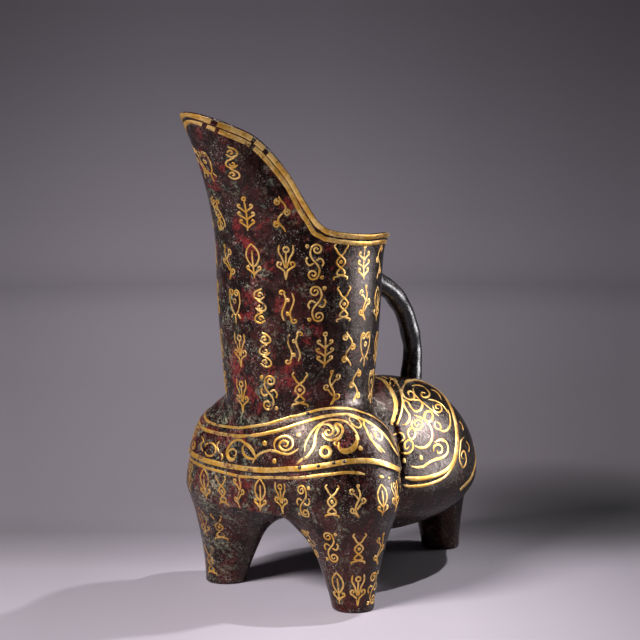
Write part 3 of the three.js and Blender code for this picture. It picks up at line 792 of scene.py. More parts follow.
class Scrolls(Inlay):
    """Strokes drawn in pixels, laid on the seen side and, where `other` is given, on the far one."""

    def __init__(self, other):
        super().__init__()
        self.other = other

    def lay(self, points, width, closed=False):
        self.ribbon(points, width, closed)
        if self.other:
            self.ribbon(self.other(points), width, closed)

    def curve(self, pixels, width, ends=0.45, reach=0.12):
        q = spline(pixels, 240)
        length = np.linalg.norm(np.diff(q, axis=0), axis=1).sum()
        points = cast(even(q, max(int(length / 0.6), 8)))
        self.lay(points, taper(len(points), width, ends, reach))

    def ring(self, centre, across, high, width):
        angle = np.linspace(0, 2 * math.pi, 40, endpoint=False)
        pixels = np.stack([centre[0] + across * np.cos(angle), centre[1] + high * np.sin(angle)], -1)
        self.lay(cast(pixels), width, True)

    def dot(self, centre, radius, squash):
        ends = cast([(centre[0], centre[1] - radius), (centre[0], centre[1] + radius)])
        s = np.linspace(-1, 1, 14)
        span = np.linalg.norm(ends[1] - ends[0]) * squash
        self.lay(even(ends, 14), np.maximum(span * np.sqrt(np.maximum(1 - s * s, 0)), 0.15))


# Strokes: pixels along each, its width, and where given how narrow its ends are and how far that reaches

BELT_FRONT_STROKES = {
    "left_whorl": ([(237.5, 456.5), (235.5, 458.5), (232, 458), (230, 454.5), (231, 450.5), (235, 449),
        (238, 451.5), (237.5, 455), (235, 455.5)], 1.5),
    "left_whorl_outline": ([(237, 459), (233, 460.5), (229, 457), (228.5, 451), (231.5, 445.5), (236, 441),
        (241, 439.5), (247, 442)], 1.7),
    "left_hook": ([(243, 441), (249, 444.5), (254, 450), (257.5, 458)], 3.2, 0.3, 0.4),
    "left_crescent": ([(247, 443.5), (244.5, 449), (247, 455.5), (253, 458.5), (258, 458)], 2.4, 0.3, 0.4),
    "middle_tail": ([(254, 463), (257, 457), (262, 453), (270, 450.5), (276, 451), (283, 453.5),
        (290, 454.5), (296, 452), (300, 449)], 1.7),
    "middle_spiral": ([(277, 450), (275.5, 445), (277, 440), (282, 437), (288, 436.5), (293, 440),
        (294, 446), (290, 450), (285, 450.5), (281, 447), (281.5, 443), (285, 441), (289, 443),
        (288, 446.5), (285, 446)], 1.7),
    "edge_hook": ([(207, 452), (209, 455.5), (214, 455.5), (217, 452), (217, 447), (213.5, 443.5),
        (209, 444), (207, 447)], 1.5),
    "edge_wave": ([(222, 441), (219, 445), (220, 451), (224, 456), (223, 460)], 1.5),
    "edge_sliver": ([(203.5, 437), (205.5, 441), (203, 446), (205, 452)], 1.4),
    "long_rise": ([(298, 464), (303, 460), (308, 457), (312, 452), (315, 446), (316, 440), (317, 434),
        (319, 430), (322, 427)], 2.1),
    "high_arch": ([(306, 452), (306, 447), (308, 441), (312, 434), (317, 428), (323, 424), (330, 421.5),
        (338, 421.5), (345, 423), (350, 427), (354, 432), (357, 437), (358, 441)], 1.6),
}
BELT_FLANK_STROKES = {
    "crescent": ([(339, 443), (339, 448), (343, 451.5), (349, 451), (354, 447), (356, 441),
        (355, 436)], 4.2, 0.25, 0.4),
    "crescent_link": ([(336.5, 447), (335, 443.5), (338, 440.5), (341.5, 438)], 1.4),
    "inner_spiral": ([(319, 429), (322, 426), (327, 425.5), (331, 427), (333.5, 431), (332, 435),
        (328, 436), (326, 433), (328, 431), (330, 432)], 1.7),
    "outer_spiral": ([(324, 430), (323.5, 434), (325, 438), (329, 440.5), (334, 440.5), (339, 438),
        (342, 434), (342, 429), (339, 426), (336, 425), (336, 428), (338, 431), (338, 434),
        (335, 437)], 1.8),
    "small_leaf": ([(349, 418.5), (353, 419), (358, 422), (360, 427), (357, 429), (352, 426), (349, 422),
        (348.5, 419.5)], 1.2),
    "right_stem": ([(362.5, 421.5), (362.5, 426), (365, 431), (368, 438), (372, 444), (376, 449),
        (380, 453)], 1.6),
    "right_edge": ([(362, 421), (370, 425), (378, 431), (385, 438), (390, 447), (394, 454)], 1.6),
    "right_hook": ([(370, 431), (373, 430.5), (377, 432), (380, 436), (380, 440), (377, 440), (374, 438),
        (373, 435), (375, 434)], 1.5),
    "right_fork": ([(369, 434), (370, 440), (373, 444), (378, 448), (383, 453)], 1.5),
}
PANEL_STROKES = {
    "top_left_hook": ([(404, 386), (401, 392), (403, 398), (408, 401), (412.5, 400), (413, 396), (410, 393),
        (407, 394), (408, 397)], 1.7),
    "left_knot": ([(412, 401.5), (418, 402), (421, 406), (419, 411), (414, 412.5), (410, 409), (407, 404),
        (403, 402), (402.5, 406), (405, 411), (408, 416), (408, 421), (405, 425), (401, 426)], 1.8),
    "cross_stem": ([(412, 390), (413, 395), (418, 401), (425, 407), (431, 412), (437, 417)], 1.4),
    "top_hook": ([(411, 388), (415, 387), (421, 388), (425, 391), (428, 395), (427, 398), (423, 399),
        (420, 397), (421, 394), (424, 395)], 1.7),
    "upper_stem": ([(427, 401), (433, 402), (439, 405), (443, 409), (446, 414)], 1.6),
    "upper_whorl": ([(431, 407), (433, 412), (437, 413.5), (440, 411), (439, 407), (435, 406), (434, 409),
        (437, 410)], 1.5),
    "right_bow": ([(446, 411), (448, 417), (448.5, 424), (447, 429), (443, 432), (438, 431)], 1.7),
    "drop": ([(434, 422), (433, 427), (436, 430), (439, 429), (438, 425), (435, 423)], 1.5),
    "middle_bow": ([(413, 416.5), (422, 420), (427, 425), (430, 431), (430, 440), (425, 447), (418, 448.5),
        (413, 446)], 2),
    "middle_spiral": ([(411, 421), (410, 426), (413, 430), (418, 430), (421, 426), (419, 422), (415, 421),
        (413, 424), (415, 427), (417.5, 425)], 1.6),
    "left_link": ([(393, 435), (398, 433.5), (402, 436), (403, 440)], 1.5),
    "low_spiral": ([(403, 440), (399.5, 443), (399, 449), (402, 453.5), (407, 453.5), (411, 449.5),
        (411, 443.5), (407.5, 441), (404, 443), (403, 447), (405, 449.5), (407.5, 447)], 1.6),
    "low_whorl": ([(432, 452), (432, 447.5), (436, 445), (440, 447.5), (440, 452), (436.5, 453.5),
        (435, 450.5)], 1.6),
    "low_sweep": ([(433, 443), (438, 440.5), (443, 441.5), (446, 447), (445, 454), (440, 458), (433, 460),
        (427, 463), (421, 467), (415, 467.5), (410, 466.5)], 2),
    "top_bud": ([(390, 385), (390.5, 381.5), (394, 381), (396, 384), (393.5, 386)], 1.4),
    "outer_spiral": ([(464, 437), (461, 441), (460.5, 447), (459.5, 454), (460, 461), (463, 467.5),
        (466, 463), (466, 456), (464, 451), (461.5, 454), (462, 458), (464, 459)], 1.5),
    "outer_comma": ([(466, 441), (469, 446), (469, 452)], 1.6),
    "upper_crescent": ([(430, 391.5), (434, 393), (437.5, 396.5), (439.5, 401)], 3, 0.3, 0.4),
    "right_comma": ([(459, 421), (462, 425), (463.5, 430)], 2.4, 0.4, 0.4),
}
# Centre, half width, half height and stroke of each ring; centre, radius and squash of each dot
BELT_FRONT_RINGS = ()
BELT_FRONT_DOTS = (((266, 443), 2.6, 1), ((276, 461), 2.6, 1), ((300, 435.5), 2.6, 1))
BELT_FLANK_RINGS = (((326, 452.5), 4.6, 4.8, 2.4),)
BELT_FLANK_DOTS = (((359.5, 449), 2.3, 1),)
PANEL_RINGS = (((427, 417.5), 4.2, 5.2, 2), ((410, 434.5), 3.6, 5.4, 1.8))
PANEL_DOTS = (((419.4, 458), 2.5, 0.9), ((402.9, 461), 2.5, 0.7))
SCROLLS = (
    ("belt_scrolls_front_gold", None, BELT_FRONT_STROKES, BELT_FRONT_RINGS, BELT_FRONT_DOTS),
    ("belt_scrolls_flank_gold", other_lobe, BELT_FLANK_STROKES, BELT_FLANK_RINGS, BELT_FLANK_DOTS),
    ("panel_scrolls_gold", other_flank, PANEL_STROKES, PANEL_RINGS, PANEL_DOTS))


def scroll_inlays(material):
    for name, other, strokes, rings, dots in SCROLLS:
        scrolls = Scrolls(other)
        for stroke in strokes.values():
            scrolls.curve(*stroke)
        for ring in rings:
            scrolls.ring(*ring)
        for dot in dots:
            scrolls.dot(*dot)
        scrolls.make(name, material)


# Pixel across, pixel down and radius of each small head on the belt's bands
WARTS = ((301, 467.5, 1.7), (319, 466, 1.5), (334, 463.2, 1.4), (344, 461.8, 1.4), (308, 414, 1.5))
WART_SIDES, WART_LEVELS = 14, 5
WART_HEIGHT, WART_SINK = 0.75, 0.2


def band_warts(material):
    """Small round bronze heads left standing on the belt's bands."""
    verts, faces = [], []
    turns = np.linspace(0, 2 * math.pi, WART_SIDES, endpoint=False)[:, None]
    for x, y, radius in WARTS:
        centre = cast([(x, y)])
        n = normals_at(centre)[0]
        foot = centre[0] + n * (relief_at(centre)[0] - WART_SINK)
        up = np.cross(n, [1.0, 0, 0])
        up /= np.linalg.norm(up)
        circle = np.cos(turns) * np.cross(up, n) + np.sin(turns) * up
        start = len(verts)
        for polar in np.linspace(0, math.pi / 2, WART_LEVELS, endpoint=False):
            verts += list(foot + radius * (math.cos(polar) * circle + n * (WART_HEIGHT * math.sin(polar))))
        top, apex = len(verts) - WART_SIDES, len(verts)
        verts.append(foot + n * (WART_HEIGHT * radius))
        faces += [[start + v for v in f] for f in grid_faces(WART_LEVELS, WART_SIDES)]
        faces += [[top + k, top + (k + 1) % WART_SIDES, apex] for k in range(WART_SIDES)]
        faces.append([start + k for k in range(WART_SIDES)][::-1])
    make_object("band_warts", verts, faces, material)


# Small repeated ornaments of the neck and the legs, drawn in a box 2 wide and 4 high

def arc(cx, cy, radius, start, end, steps=14):
    a = np.radians(np.linspace(start, end, steps))
    return np.stack([cx + radius * np.cos(a), cy + radius * np.sin(a)], -1)


def curl(cx, cy, radius, turns, start, hand):
    s = np.linspace(0, 1, int(16 * turns) + 4)
    a = math.radians(start) - hand * (1 - s) * turns * 2 * math.pi
    r = radius * mix(0.25, 1, s)
    return np.stack([cx + r * np.cos(a), cy + r * np.sin(a)], -1)


def flipped(line):
    return np.asarray(line, float) * np.array([-1, 1])


def bud(cx, cy, radius=0.15):
    return arc(cx, cy, radius, 0, 350, 10)


def lyre():
    side = np.concatenate([curl(-0.42, 1.45, 0.42, 1.3, 180, 1), [[-0.85, 0.5], [-0.5, -0.5], [0, -1.1]]])
    return [side, flipped(side), [(0, -1.1), (0, -1.95)], bud(0, 0.55, 0.22), [(-0.4, -0.9), (-0.75, -1.35)],
            [(0.4, -0.9), (0.75, -1.35)]]


def tendril():
    y = np.linspace(-1.95, 1.6, 30)
    stem = np.stack([0.3 * np.sin(y * 1.9), y], -1)
    return [stem, np.concatenate([curl(-0.6, 1.25, 0.36, 1.1, 300, 1), [[-0.05, 0.5], [0.15, 0.1]]]),
            np.concatenate([curl(0.62, 0.15, 0.36, 1.1, 240, -1), [[0.1, -0.6], [-0.1, -0.9]]]),
            np.concatenate([curl(-0.62, -0.95, 0.34, 1.1, 300, 1), [[-0.1, -1.6], [0.0, -1.85]]]),
            bud(0.12, 1.8)]


def scroll():
    top = np.concatenate([curl(0.2, 1.35, 0.62, 1.5, 180, 1), [[-0.5, 0.7], [-0.1, 0.1]]])
    line = np.concatenate([top, -top[::-1]])
    leaf = [(0.15, 0.15), (0.6, 0.35), (0.9, -0.1), (0.75, -0.5)]
    return [line, leaf, [(-x, -y) for x, y in leaf], bud(-0.78, 1.7), bud(0.78, -1.7)]


def braid():
    y = np.linspace(-1.3, 1.3, 40)
    wave = np.stack([0.5 * np.cos(y * 2.42), y], -1)
    wave = np.concatenate([[[0.75, -1.95], [0.85, -1.7]], wave, [[-0.85, 1.7], [-0.6, 1.95]]])
    return [wave, flipped(wave), bud(0, 0, 0.14)]


def leaf():
    left = [(0, 1.95), (-0.6, 1.2), (-0.72, 0.4), (-0.4, -0.3), (0, -0.7)]
    side = np.concatenate([curl(-0.6, -0.75, 0.26, 0.9, 270, 1), [[-0.3, -1.2], [0, -1.55]]])
    return [left, flipped(left), [(0, 1.2), (0.05, 0), (0, -1.95)], side, flipped(side)]


def palmette():
    outer = np.concatenate([curl(-0.62, -0.25, 0.36, 1.0, 270, 1), [[-0.15, -1.0], [0.0, -1.95]]])
    middle = [(-0.08, -0.7), (-0.4, 0.4), (-0.75, 1.1), (-0.7, 1.85)]
    return [outer, flipped(outer), middle, flipped(middle), [(0, -0.6), (0, 1.0)], bud(0, 1.35, 0.3)]


def vine():
    y = np.linspace(-1.95, 1.95, 36)
    stem = np.stack([0.38 * np.sin(y * 2.4), y], -1)
    return [stem] + [curl(0.42 * hand, at, 0.36, 1.1, 90, hand) for at, hand in
                     ((1.3, -1.2), (0.15, 1.2), (-1.15, -1.2))]


def drops():
    lines = []
    for at, hand in ((1.2, 1), (-0.1, -1), (-1.4, 1)):
        outer = [(0.3, at + 0.7), (-0.5, at + 0.3), (-0.62, at - 0.25), (0, at - 0.5), (0.55, at - 0.15)]
        lines += [np.array(outer) * [hand, 1], curl(0.05 * hand, at, 0.33, 0.9, 0, -hand)]
    return lines


def fern():
    lines = [[(0, 1.5), (0.05, 0), (-0.05, -1.95)], bud(0, 1.75, 0.2)]
    for at, wide in ((0.75, 0.62), (-0.15, 0.72), (-1.05, 0.62)):
        side = np.concatenate([curl(-wide, at + 0.2, 0.24, 0.9, 270, 1), [[-0.2, at - 0.35], [0, at - 0.6]]])
        lines += [side, flipped(side)]
    return lines


def twist():
    y = np.linspace(-1.5, 1.5, 30)
    left = np.stack([-0.42 + 0.2 * np.sin(y * 2.1), y], -1)
    side = np.concatenate([curl(-0.66, 1.5, 0.34, 0.9, 0, -1), left[::-1]])
    return [side, -side[::-1], bud(0, 0.75), bud(0, -0.75)]


ORNAMENTS = (lyre, tendril, fern, scroll, drops, leaf, vine, braid, twist, palmette)


# Width and height of an ornament, its stroke, and the points that a drawn line is evened to
NECK_MARK, LEG_MARK, MARK_STROKE = (14.0, 26.5), (12.5, 25.0), 1.3
EVENED_POINTS, FEW_POINTS, POINT_STEP = 26, 8, 0.8


def stamp(inlay, centre, number, size):
    """Lays ornament `number` on the vessel round a point of its surface."""
    n = normals_at(centre[None])[0]
    up = np.array([0, 0, 1.0]) - n[2] * n
    up /= np.linalg.norm(up)
    beside = np.cross(up, n) * (1 if (number // len(ORNAMENTS)) % 2 else -1)
    for line in ORNAMENTS[number % len(ORNAMENTS)]():
        line = np.asarray(line, float) * [size[0] / 2, size[1] / 4]
        length = np.linalg.norm(np.diff(line, axis=0), axis=1).sum()
        count = max(int(length / POINT_STEP), 6)
        flat = spline(even(line, EVENED_POINTS) if len(line) > FEW_POINTS else line, count)
        points = centre + flat[:, :1] * beside + flat[:, 1:] * up
        inlay.ribbon(points, taper(count, MARK_STROKE, 0.65, 0.1))


# Middles of the ornaments: pixels of the photograph, then heights and turns on the unseen side
NECK_MARKS = (
    (207, 166), (232, 163), (219, 215), (246, 214), (282, 214),
    (228, 262), (253, 261), (286, 262), (315, 262), (341, 262), (364, 262), (379, 261),
    (235, 306), (260, 306), (288, 307), (317, 304), (344, 304), (365, 303), (377, 304),
    (240, 350), (265, 350), (294, 348), (325, 350), (349, 349), (365, 349), (376, 349),
    (242, 396), (269, 393), (300, 390), (332, 388), (355, 386), (371, 386))
UNSEEN_ROWS = (258, 226, 190, 163)
UNSEEN_TURNS = (-40, -61, -82, -103, -124, -145, -166, 173, 152)
# Unseen places that other things take: turns beyond the first, and heights over or under the second
HANDLE_ROOT, REAR_LOBE_ROOT = (160, 215), (118, 170)
# Marks on the beak's wall, this high and this far from the middle, stand on both sides
BEAK_MARK_Z, BEAK_MARK_Y = 275, 12
# Pixel across, pixel down, and whether the far leg has one too
LEG_MARKS = (
    (303, 502, 1), (332, 502, 1), (358, 502, 1), (383, 501, 1), (396, 497, 1), (331, 547, 1), (359, 549, 1),
    (380, 549, 1), (338, 588, 1), (358, 590, 1), (373, 588, 1),
    (222, 491, 0), (239, 492, 0), (260, 495, 0), (281, 498, 0), (311, 543, 0), (219, 527, 0))


def neck_ornaments(material):
    inlay = Inlay()
    for number, at in enumerate(NECK_MARKS):
        centre = cast([at])[0]
        stamp(inlay, centre, 4 * number + number // 5, NECK_MARK)
        if centre[2] > BEAK_MARK_Z and centre[1] < -BEAK_MARK_Y:
            stamp(inlay, other_flank(centre), 4 * number + 2, NECK_MARK)
    for row, z in enumerate(UNSEEN_ROWS):
        for column, turn in enumerate(UNSEEN_TURNS):
            at_handle = abs(turn) > HANDLE_ROOT[0] and z > HANDLE_ROOT[1]
            at_lobe = abs(turn) > REAR_LOBE_ROOT[0] and z < REAR_LOBE_ROOT[1]
            if not at_handle and not at_lobe:
                centre = out_from_axis(np.array([-math.radians(turn)]), float(z))[0]
                stamp(inlay, centre, 5 * column + 4 * row, NECK_MARK)
    inlay.make("neck_ornaments_gold", material)


def leg_ornaments(material):
    inlay = Inlay()
    for number, (x, y, both) in enumerate(LEG_MARKS):
        centre = cast([(x, y)])[0]
        stamp(inlay, centre, 4 * number + 3, LEG_MARK)
        if both:
            stamp(inlay, other_flank(centre), 4 * number + 5, LEG_MARK)
    inlay.make("leg_ornaments_gold", material)


# Materials

class Surface:
    """A material, with short names for the nodes that make its pattern."""

    def __init__(self, name):
        self.material = bpy.data.materials.new(name)
        self.material.use_nodes = True
        self.tree = self.material.node_tree
        self.shader = self.tree.nodes["Principled BSDF"].inputs
        self.place = self.tree.nodes.new("ShaderNodeTexCoord").outputs["Object"]

    def feed(self, socket, value):
        """Links a socket, or sets it to a number, a direction or a colour."""
        if isinstance(value, bpy.types.NodeSocket):
            self.tree.links.new(value, socket)
        elif socket.type == "RGBA":
            socket.default_value = tuple(value) + (1,)
        else:
            socket.default_value = value

    def node(self, kind, values, **settings):
        made = self.tree.nodes.new("ShaderNode" + kind)
        for name, value in settings.items():
            setattr(made, name, value)
        for socket, value in values.items():
            self.feed(made.inputs[socket], value)
        return made.outputs

    def noise(self, scale, detail, roughness, distortion=0.0, place=None):
        values = {"Vector": self.place if place is None else place, "Scale": scale, "Detail": detail,
                  "Roughness": roughness, "Distortion": distortion}
        return self.node("TexNoise", values)["Fac"]

    def ramp(self, value, low, high, at_low=0.0, at_high=1.0, kind="SMOOTHSTEP"):
        values = {"Value": value, "From Min": low, "From Max": high, "To Min": at_low, "To Max": at_high}
        return self.node("MapRange", values, interpolation_type=kind)["Result"]

    def mix(self, factor, a, b, kind="MIX"):
        return self.node("Mix", {"Factor": factor, 6: a, 7: b}, data_type="RGBA", blend_type=kind)[2]

    def number(self, kind, a, b=0.0):
        return self.node("Math", {0: a, 1: b}, operation=kind)[0]

    def times(self, a, b):
        return self.number("MULTIPLY", a, b)

    def plus(self, a, b):
        return self.number("ADD", a, b)

    def along(self, direction):
        """How far a place lies along a direction, in metres."""
        direction = tuple(float(v) for v in direction)
        return self.node("VectorMath", {0: self.place, 1: direction}, operation="DOT_PRODUCT")["Value"]

    def levels(self, value, stops):
        """A grey that follows (value, level) stops."""
        low, high = stops[0][0], stops[-1][0]
        node = self.tree.nodes.new("ShaderNodeValToRGB")
        elements = node.color_ramp.elements
        for index, (at, level) in enumerate(stops):
            share = (at - low) / (high - low)
            element = elements[index] if index < 2 else elements.new(share)
            element.position = share
            element.color = (level, level, level, 1)
        self.feed(node.inputs["Fac"], self.ramp(value, low, high, kind="LINEAR"))
        return node.outputs["Color"]

    def finish(self, base, roughness, height=None, strength=0.0, distance=0.0):
        self.feed(self.shader["Base Color"], base)
        self.feed(self.shader["Roughness"], roughness)
        if height is not None:
            values = {"Height": height, "Strength": strength, "Distance": distance}
            self.feed(self.shader["Normal"], self.node("Bump", values)["Normal"])
        return self.material


# Painted shadow: the dark, faintly mottled colour of the strips under the belts' ledges
def ledge_shadow_material():
    s = Surface("painted_ledge_shadow")
    base = s.mix(s.ramp(s.noise(200, 4, 0.6), 0.4, 0.6), (0.004, 0.002, 0.0015), (0.014, 0.008, 0.006))
    return s.finish(base, 0.7)


BLACK_BRONZE, BROWN_BRONZE, MAROON = (0.0030, 0.0011, 0.0013), (0.026, 0.009, 0.008), (0.046, 0.0095, 0.0090)
WORN_BRONZE, RED_CRUST, GREEN_CRUST = (0.085, 0.050, 0.042), (0.155, 0.012, 0.014), (0.095, 0.108, 0.075)
EARTH, PALE_SPECK, PIT = (0.29, 0.26, 0.18), (0.36, 0.33, 0.30), (0.002, 0.001, 0.001)
BRONZE_GLOSS, BRONZE_GLOSS_TINT = 0.35, (1.0, 0.78, 0.66)
# The crust is thickest towards the vessel's left and low down; red is rarer low on the legs
CRUST_LEAN = (-0.12, 0.3, -0.10)
GREEN_OFFSET = (3.1, 1.7, 5.3)


def bronze_material():
    """Dark maroon bronze under a broken crust of red, grey-green and pale earth."""
    s = Surface("patinated_bronze")
    fine = s.noise(330, 7, 0.74)
    grain = s.noise(1300, 3, 0.7)
    lean = s.along(CRUST_LEAN)
    moved = s.node("VectorMath", {0: s.place, 1: GREEN_OFFSET}, operation="ADD")["Vector"]
    base = s.mix(s.ramp(s.noise(90, 9, 0.75, 0.3), 0.42, 0.62), BLACK_BRONZE, BROWN_BRONZE)
    maroon = s.ramp(s.plus(s.noise(24, 9, 0.72, 0.4), lean), 0.47, 0.60)
    base = s.mix(s.times(maroon, 0.75), base, MAROON)
    worn = s.times(s.ramp(s.noise(130, 8, 0.76, place=moved), 0.53, 0.59), s.ramp(fine, 0.46, 0.56))
    base = s.mix(worn, base, WORN_BRONZE)
    high = s.ramp(s.along((0, 0, 1)), 0.05, 0.11, 0.3, 1.0)
    red = s.times(s.ramp(s.plus(s.noise(38, 10, 0.76, 0.5), lean), 0.50, 0.58), high)
    red = s.times(red, s.ramp(fine, 0.40, 0.53))
    base = s.mix(red, base, RED_CRUST)
    salts = s.plus(s.noise(62, 10, 0.80, 0.4, moved), lean)
    green = s.times(s.ramp(salts, 0.495, 0.575), s.ramp(fine, 0.47, 0.56))
    base = s.mix(green, base, GREEN_CRUST)
    base = s.mix(s.times(s.ramp(salts, 0.565, 0.64), s.ramp(fine, 0.49, 0.56)), base, EARTH)
    speck = s.times(s.ramp(s.noise(850, 4, 0.75, place=moved), 0.58, 0.62),
                    s.ramp(s.plus(s.noise(60, 8, 0.78, place=moved), lean), 0.48, 0.57))
    base = s.mix(speck, base, PALE_SPECK)
    pits = s.ramp(s.noise(520, 5, 0.72), 0.39, 0.46)
    base = s.mix(pits, PIT, base)
    crust = s.number("MAXIMUM", green, s.number("MAXIMUM", speck, red))
    roughness = s.plus(s.ramp(crust, 0.0, 1.0, 0.17, 0.30), s.times(grain, 0.10))
    s.feed(s.shader["Specular IOR Level"], BRONZE_GLOSS)
    s.feed(s.shader["Specular Tint"], BRONZE_GLOSS_TINT)
    height = s.plus(s.times(fine, 0.9), s.times(grain, 0.28))
    height = s.plus(height, s.plus(s.times(crust, 0.3), s.times(pits, 0.35)))
    return s.finish(base, roughness, height, 0.24, 0.0008)


DEEP_GOLD, PALE_GOLD = (0.60, 0.31, 0.046), (0.84, 0.54, 0.18)
TARNISHED_GOLD, BARED_BRONZE = (0.40, 0.15, 0.03), (0.06, 0.022, 0.010)
TARNISH_LEAN = (-0.30, 0.75, -0.25)


def gold_material():
    """Gold rubbed thin, brown where the bronze shows through, and duller on the crusted side."""
    s = Surface("worn_gold")
    broad = s.noise(85, 5, 0.65)
    fine = s.noise(420, 4, 0.7)
    tarnish = s.plus(broad, s.along(TARNISH_LEAN))
    gold = s.mix(s.ramp(broad, 0.42, 0.58), DEEP_GOLD, PALE_GOLD)
    gold = s.mix(s.times(s.ramp(tarnish, 0.52, 0.66), 0.7), gold, TARNISHED_GOLD)
    rubbed = s.times(s.ramp(tarnish, 0.48, 0.62), s.ramp(fine, 0.45, 0.56))
    blots = s.times(s.ramp(s.noise(260, 5, 0.7), 0.60, 0.66), 0.85)
    worn = s.number("MAXIMUM", rubbed, blots)
    s.feed(s.shader["Metallic"], s.ramp(worn, 0.0, 1.0, 0.65, 0.1))
    gold = s.mix(worn, gold, BARED_BRONZE)
    return s.finish(gold, s.ramp(fine, 0.3, 0.7, 0.27, 0.5), fine, 0.3, 0.0004)


def handle_material():
    s = Surface("dark_handle_bronze")
    fine = s.noise(300, 5, 0.7)
    base = s.mix(s.ramp(s.noise(60, 6, 0.65), 0.4, 0.7), (0.005, 0.003, 0.0025), (0.028, 0.016, 0.012))
    base = s.mix(s.ramp(fine, 0.60, 0.7), base, (0.10, 0.085, 0.075))
    s.feed(s.shader["Specular IOR Level"], 0.6)
    return s.finish(base, s.ramp(fine, 0.3, 0.7, 0.18, 0.34), fine, 0.3, 0.0006)


# Stage: a bowl of paper all round, pale under the vessel's front and darker with height, which is light and
# shade painted on the paper's own grey. Its greys follow metres away from the photograph's camera, across
# its view, up, and across over away

PAPER_TINT = (1.0, 0.90, 1.045)
# Painted light and shade: these stops paint how the light falls off over the floor and up the wall, and
# NEAR_GLOW and FAR_GLOW paint a pool of light on the floor in front of the vessel
FLOOR_LEVELS = ((-0.12, 0.60), (0.03, 0.56), (0.16, 0.285), (0.31, 0.33), (0.51, 0.405), (0.81, 0.515),
                (1.23, 0.63), (1.85, 0.74), (2.3, 0.73))
WALL_LEVELS = ((0.0, 0.73), (0.03, 0.70), (0.12, 0.56), (0.23, 0.45), (0.34, 0.362), (0.45, 0.29),
               (0.57, 0.235), (1.2, 0.12))
NEAR_GLOW = ((-0.204, 0.6), (-0.126, 0.67), (-0.03, 0.8), (0.09, 0.8), (0.157, 0.69), (0.192, 0.62),
             (0.24, 0.53))
FAR_GLOW = ((-0.17, 0.81), (-0.139, 0.89), (-0.107, 0.965), (-0.08, 1.0), (0.0, 0.96), (0.054, 0.82),
            (0.08, 0.73), (0.107, 0.67), (0.134, 0.6), (0.161, 0.55))
FAN_START, FAN_LEAST = 1.4, 0.4
# Middle, half size and depth of a painted shadow on the floor behind the vessel's right
SHADE_MIDDLE, SHADE_HALF, SHADE_DEPTH = (0.22, 0.28), (0.16, 0.22), 0.45
# Beyond the photograph's view the paper is dark, so that the bronze doesn't mirror a pale floor
OUTER_LEVEL, OUTER_NEAR, OUTER_BESIDE, OUTER_FROM = 0.14, (-0.45, -0.13), (0.2, 0.4), (0.35, 0.85)
FLOOR_RADIUS, WALL_BEND, WALL_TOP = 2.3, 0.7, 2.6
STAGE_SIDES, BEND_STEPS = 96, 14
VIEW_AWAY = np.array([-CAMERA_BACK[0], -CAMERA_BACK[1], 0]) / np.hypot(CAMERA_BACK[0], CAMERA_BACK[1])


def painted_shadow_spot(s, across, away):
    """Painted shadow: deeper shade painted behind the vessel's right, nought outside an oval."""
    squares = []
    for value, middle, half in zip((across, away), SHADE_MIDDLE, SHADE_HALF):
        off = s.number("DIVIDE", s.plus(value, -middle), half)
        squares.append(s.times(off, off))
    return s.ramp(s.plus(*squares), 0.0, 1.0, SHADE_DEPTH, 0.0)


def paper_material():
    s = Surface("studio_paper")
    away, across, height = s.along(VIEW_AWAY), s.along(CAMERA_RIGHT), s.along((0, 0, 1))
    distance = s.node("VectorMath", {0: s.place}, operation="LENGTH")["Value"]
    # The floor's and wall's greys: the paper's own grey with painted light and shade
    floor = s.mix(s.ramp(distance, 0.9, 2.2), s.levels(away, FLOOR_LEVELS), s.levels(distance, FLOOR_LEVELS))
    grey = s.mix(s.ramp(height, 0.0, 0.02), floor, s.levels(height, WALL_LEVELS))
    # Painted light: the paper is lighter where the light fans out from the front, strongest near the vessel
    fan = s.number("DIVIDE", across, s.number("MAXIMUM", s.plus(away, FAN_START), FAN_LEAST))
    glow = s.mix(s.ramp(away, 0.06, 0.26), s.levels(across, NEAR_GLOW), s.levels(fan, FAR_GLOW))
    grey = s.mix(1.0, grey, glow, "MULTIPLY")
    # A painted shadow behind the vessel's right
    grey = s.mix(painted_shadow_spot(s, across, away), grey, (0.0, 0.0, 0.0))
    beside = s.ramp(s.number("ABSOLUTE", fan), *OUTER_BESIDE)
    outside = s.number("MAXIMUM", s.ramp(away, *OUTER_NEAR, 1.0, 0.0), beside)
    outside = s.times(outside, s.ramp(distance, *OUTER_FROM))
    grey = s.mix(outside, grey, (OUTER_LEVEL, OUTER_LEVEL, OUTER_LEVEL))
    grey = s.mix(1.0, grey, PAPER_TINT, "MULTIPLY")
    s.feed(s.shader["Specular IOR Level"], 0.2)
    return s.finish(grey, 0.85)


def add_stage():
    profile = [(0.4, 0.0), (1.2, 0.0), (FLOOR_RADIUS, 0.0)]
    for a in np.linspace(0, math.pi / 2, BEND_STEPS)[1:]:
        profile.append((FLOOR_RADIUS + WALL_BEND * math.sin(a), WALL_BEND * (1 - math.cos(a))))
    profile.append((FLOOR_RADIUS + WALL_BEND, WALL_TOP))
    verts = [(0, 0, 0)]
    for radius, z in profile:
        for k in range(STAGE_SIDES):
            a = 2 * math.pi * k / STAGE_SIDES
            verts.append((radius * math.cos(a), radius * math.sin(a), z))
    faces = [(0, 1 + k, 1 + (k + 1) % STAGE_SIDES) for k in range(STAGE_SIDES)]
    faces += [[1 + v for v in f[::-1]] for f in grid_faces(len(profile), STAGE_SIDES)]
    mesh = bpy.data.meshes.new("studio_bowl")
    mesh.from_pydata(verts, [], faces)
    mesh.shade_smooth()
    mesh.materials.append(paper_material())
    add_object("studio_bowl", mesh)


# Lights stand and aim at places right, away and up from the neck's axis, in metres

VESSEL_MIDDLE = (0, 0, 0.17)
LEFT_HEAD, RIGHT_HEAD, LOW_HEAD = (-0.88, -0.88, 1.01), (1.13, 0.2, 0.78), (1.2, 0.1, 0.16)
WARM, WHITE, COOL = (1, 0.975, 0.97), (1, 1, 1), (0.98, 0.96, 1)
